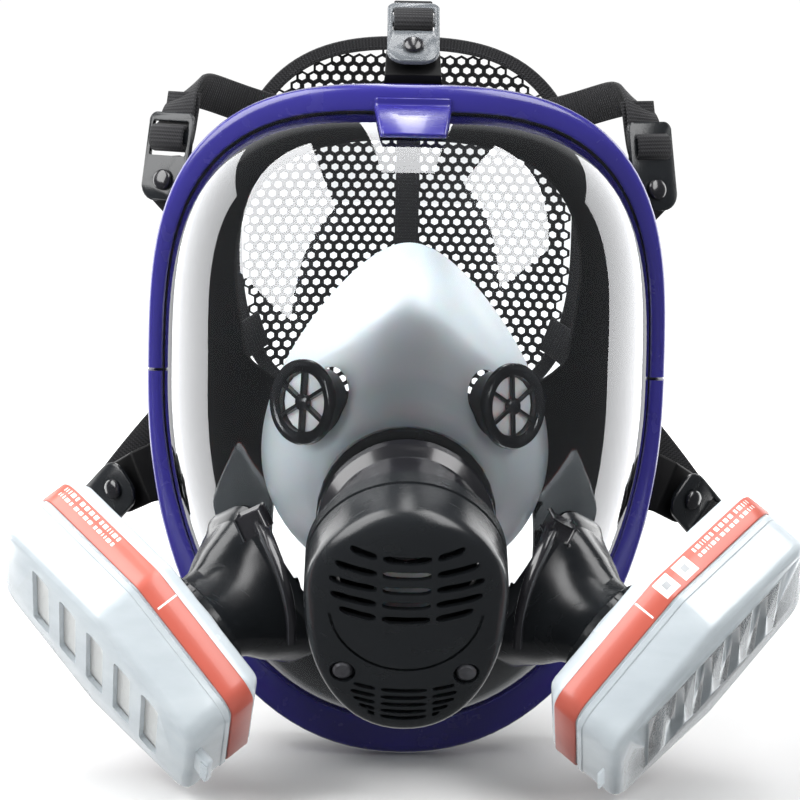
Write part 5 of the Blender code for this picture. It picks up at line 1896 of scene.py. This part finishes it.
@dataclass
class Studio:
    """Camera, soft lights, pale surroundings and floor."""

    target: tuple[float, float, float] = (0.0, -0.070, 0.006)
    azimuth: float = -0.8
    elevation: float = 7.0
    roll: float = 1.2
    distance: float = 1.150
    lens: float = 142.2
    shift: tuple[float, float] = (-0.01, -0.03375)
    cards: tuple[LightCard, ...] = (
        LightCard("left_card", ((-0.180, 0.210, 0.545), (-0.165, -0.360, 0.460),
                                (-0.570, -0.690, 0.022), (-0.585, -0.120, 0.105)), 9.5),
        LightCard("right_card", ((0.185, 0.240, 0.750), (0.115, -0.280, 0.735),
                                 (0.355, -0.800, 0.225), (0.425, -0.280, 0.240)), 9.5),
        LightCard("top_card", ((-0.05, -0.25, 0.97), (0.05, -0.25, 0.97),
                               (0.05, 0.90, 0.50), (-0.05, 0.90, 0.50)), 8.0),
        LightCard("left_wing", ((-0.95, 0.26, -0.45), (-0.55, 0.90, -0.45),
                                (-0.55, 0.90, 0.60), (-0.95, 0.26, 0.60)), 4.5),
        LightCard("right_wing", ((0.95, 0.26, -0.45), (0.55, 0.90, -0.45),
                                 (0.55, 0.90, 0.60), (0.95, 0.26, 0.60)), 4.5),
    )

    def build(self) -> None:
        """Makes the studio."""
        for card in self.cards:
            card.build()
        self.camera()
        self.surroundings()
        self.floor()
        bpy.context.scene.view_settings.view_transform = "Standard"

    def camera(self) -> None:
        """A long lens a little above the object."""
        a, e, r = (math.radians(v) for v in (self.azimuth, self.elevation, self.roll))
        back = Vector((math.sin(a) * math.cos(e), -math.cos(a) * math.cos(e), math.sin(e)))
        right = UP.cross(back).normalized()
        up = back.cross(right)
        right, up = (right * math.cos(r) + up * math.sin(r),
                     up * math.cos(r) - right * math.sin(r))
        data = bpy.data.cameras.new("camera")
        data.lens, data.sensor_width = self.lens, 36.0
        data.shift_x, data.shift_y = self.shift
        data.clip_start, data.clip_end = 0.05, 20.0
        camera = bpy.data.objects.new("camera", data)
        bpy.context.scene.collection.objects.link(camera)
        turn = Matrix((right, up, back)).transposed().to_4x4()
        camera.matrix_world = Matrix.Translation(Vector(self.target) + back * self.distance) \
            @ turn
        bpy.context.scene.camera = camera

    def surroundings(self) -> None:
        """White behind the object, dimmer in front, so that the visor stays clear."""
        world = bpy.data.worlds.new("studio")
        bpy.context.scene.world = world
        world.use_nodes = True
        world.node_tree.nodes.clear()
        bench = Bench(world.node_tree)
        place = bench.add("ShaderNodeTexCoord", out="Generated")
        split = bench.add("ShaderNodeSeparateXYZ", {}, {"Vector": place})
        depth = Sock(bench, split.socket.node.outputs["Y"])
        ramp = bench.add("ShaderNodeValToRGB",
                         {"stops": [(0.25, (0.16, 0.165, 0.17)), (0.80, (0.20, 0.205, 0.21)),
                                    (0.93, (1.02, 1.02, 1.02))]},
                         {"Fac": depth * 0.5 + 0.5})
        glow = bench.add("ShaderNodeBackground", {}, {"Color": ramp, "Strength": 1.0})
        bench.add("ShaderNodeOutputWorld", {}, {"Surface": glow})

    def floor(self) -> None:
        """A plain pale floor under the object."""
        low = CAD_BOX[0].z - 0.001
        mesh = bpy.data.meshes.new("floor")
        size = 3.0
        mesh.from_pydata([(-size, -size, low), (size, -size, low), (size, size, low),
                          (-size, size, low)], [], [(0, 1, 2, 3)])
        floor = bpy.data.objects.new("floor", mesh)
        bpy.context.scene.collection.objects.link(floor)
        made = bpy.data.materials.new("pale_floor")
        made.use_nodes = True
        made.node_tree.nodes.clear()
        bench = Bench(made.node_tree)
        tone = bench.blend(bench.spots(6.0, 2.0), (0.46, 0.46, 0.46), (0.50, 0.50, 0.50))
        place = bench.add("ShaderNodeTexCoord", out="Object")
        split = bench.add("ShaderNodeSeparateXYZ", {}, {"Vector": place})
        beside, behind = split.size(), Sock(bench, split.socket.node.outputs["Y"])
        far = bench.add("ShaderNodeMath", {"operation": "MAXIMUM"},
                        {0: behind * 2.2 - 0.25, 1: beside * 1.6 - 0.35})
        far = bench.add("ShaderNodeMath", {"operation": "MAXIMUM"}, {0: far, 1: 0.0})
        glow = bench.add("ShaderNodeMath", {"operation": "MINIMUM"}, {0: far, 1: 1.0})
        pale = bench.blend(glow, (0.0, 0.0, 0.0), (1.0, 1.0, 1.0))
        bench.close(bench.surface(Base_Color=tone, Roughness=0.9, Emission_Color=pale,
                                  Emission_Strength=1.0))
        mesh.materials.append(made)
        floor.visible_glossy = False


def main() -> None:
    """Builds every sub-assembly in order."""
    logging.basicConfig(level=logging.INFO, format="%(name)s %(message)s")
    Studio().build()
    harness = Harness()
    stations = harness.stations()
    ribs, stitches = RepeatTree(Repeated.RIB), RepeatTree(Repeated.STITCH)
    Visor().build()
    ClampFrame().build()
    FaceSeal().build(stations)
    NoseCup().build()
    CentreUnit().build()
    for label, side in SIDES:
        place = FilterSide(label, side)
        Port(place).build(ribs)
        Filter(place).build(ribs)
    harness.build(stitches)
    KeptNodes().dress()


if __name__ == "__main__":
    main()
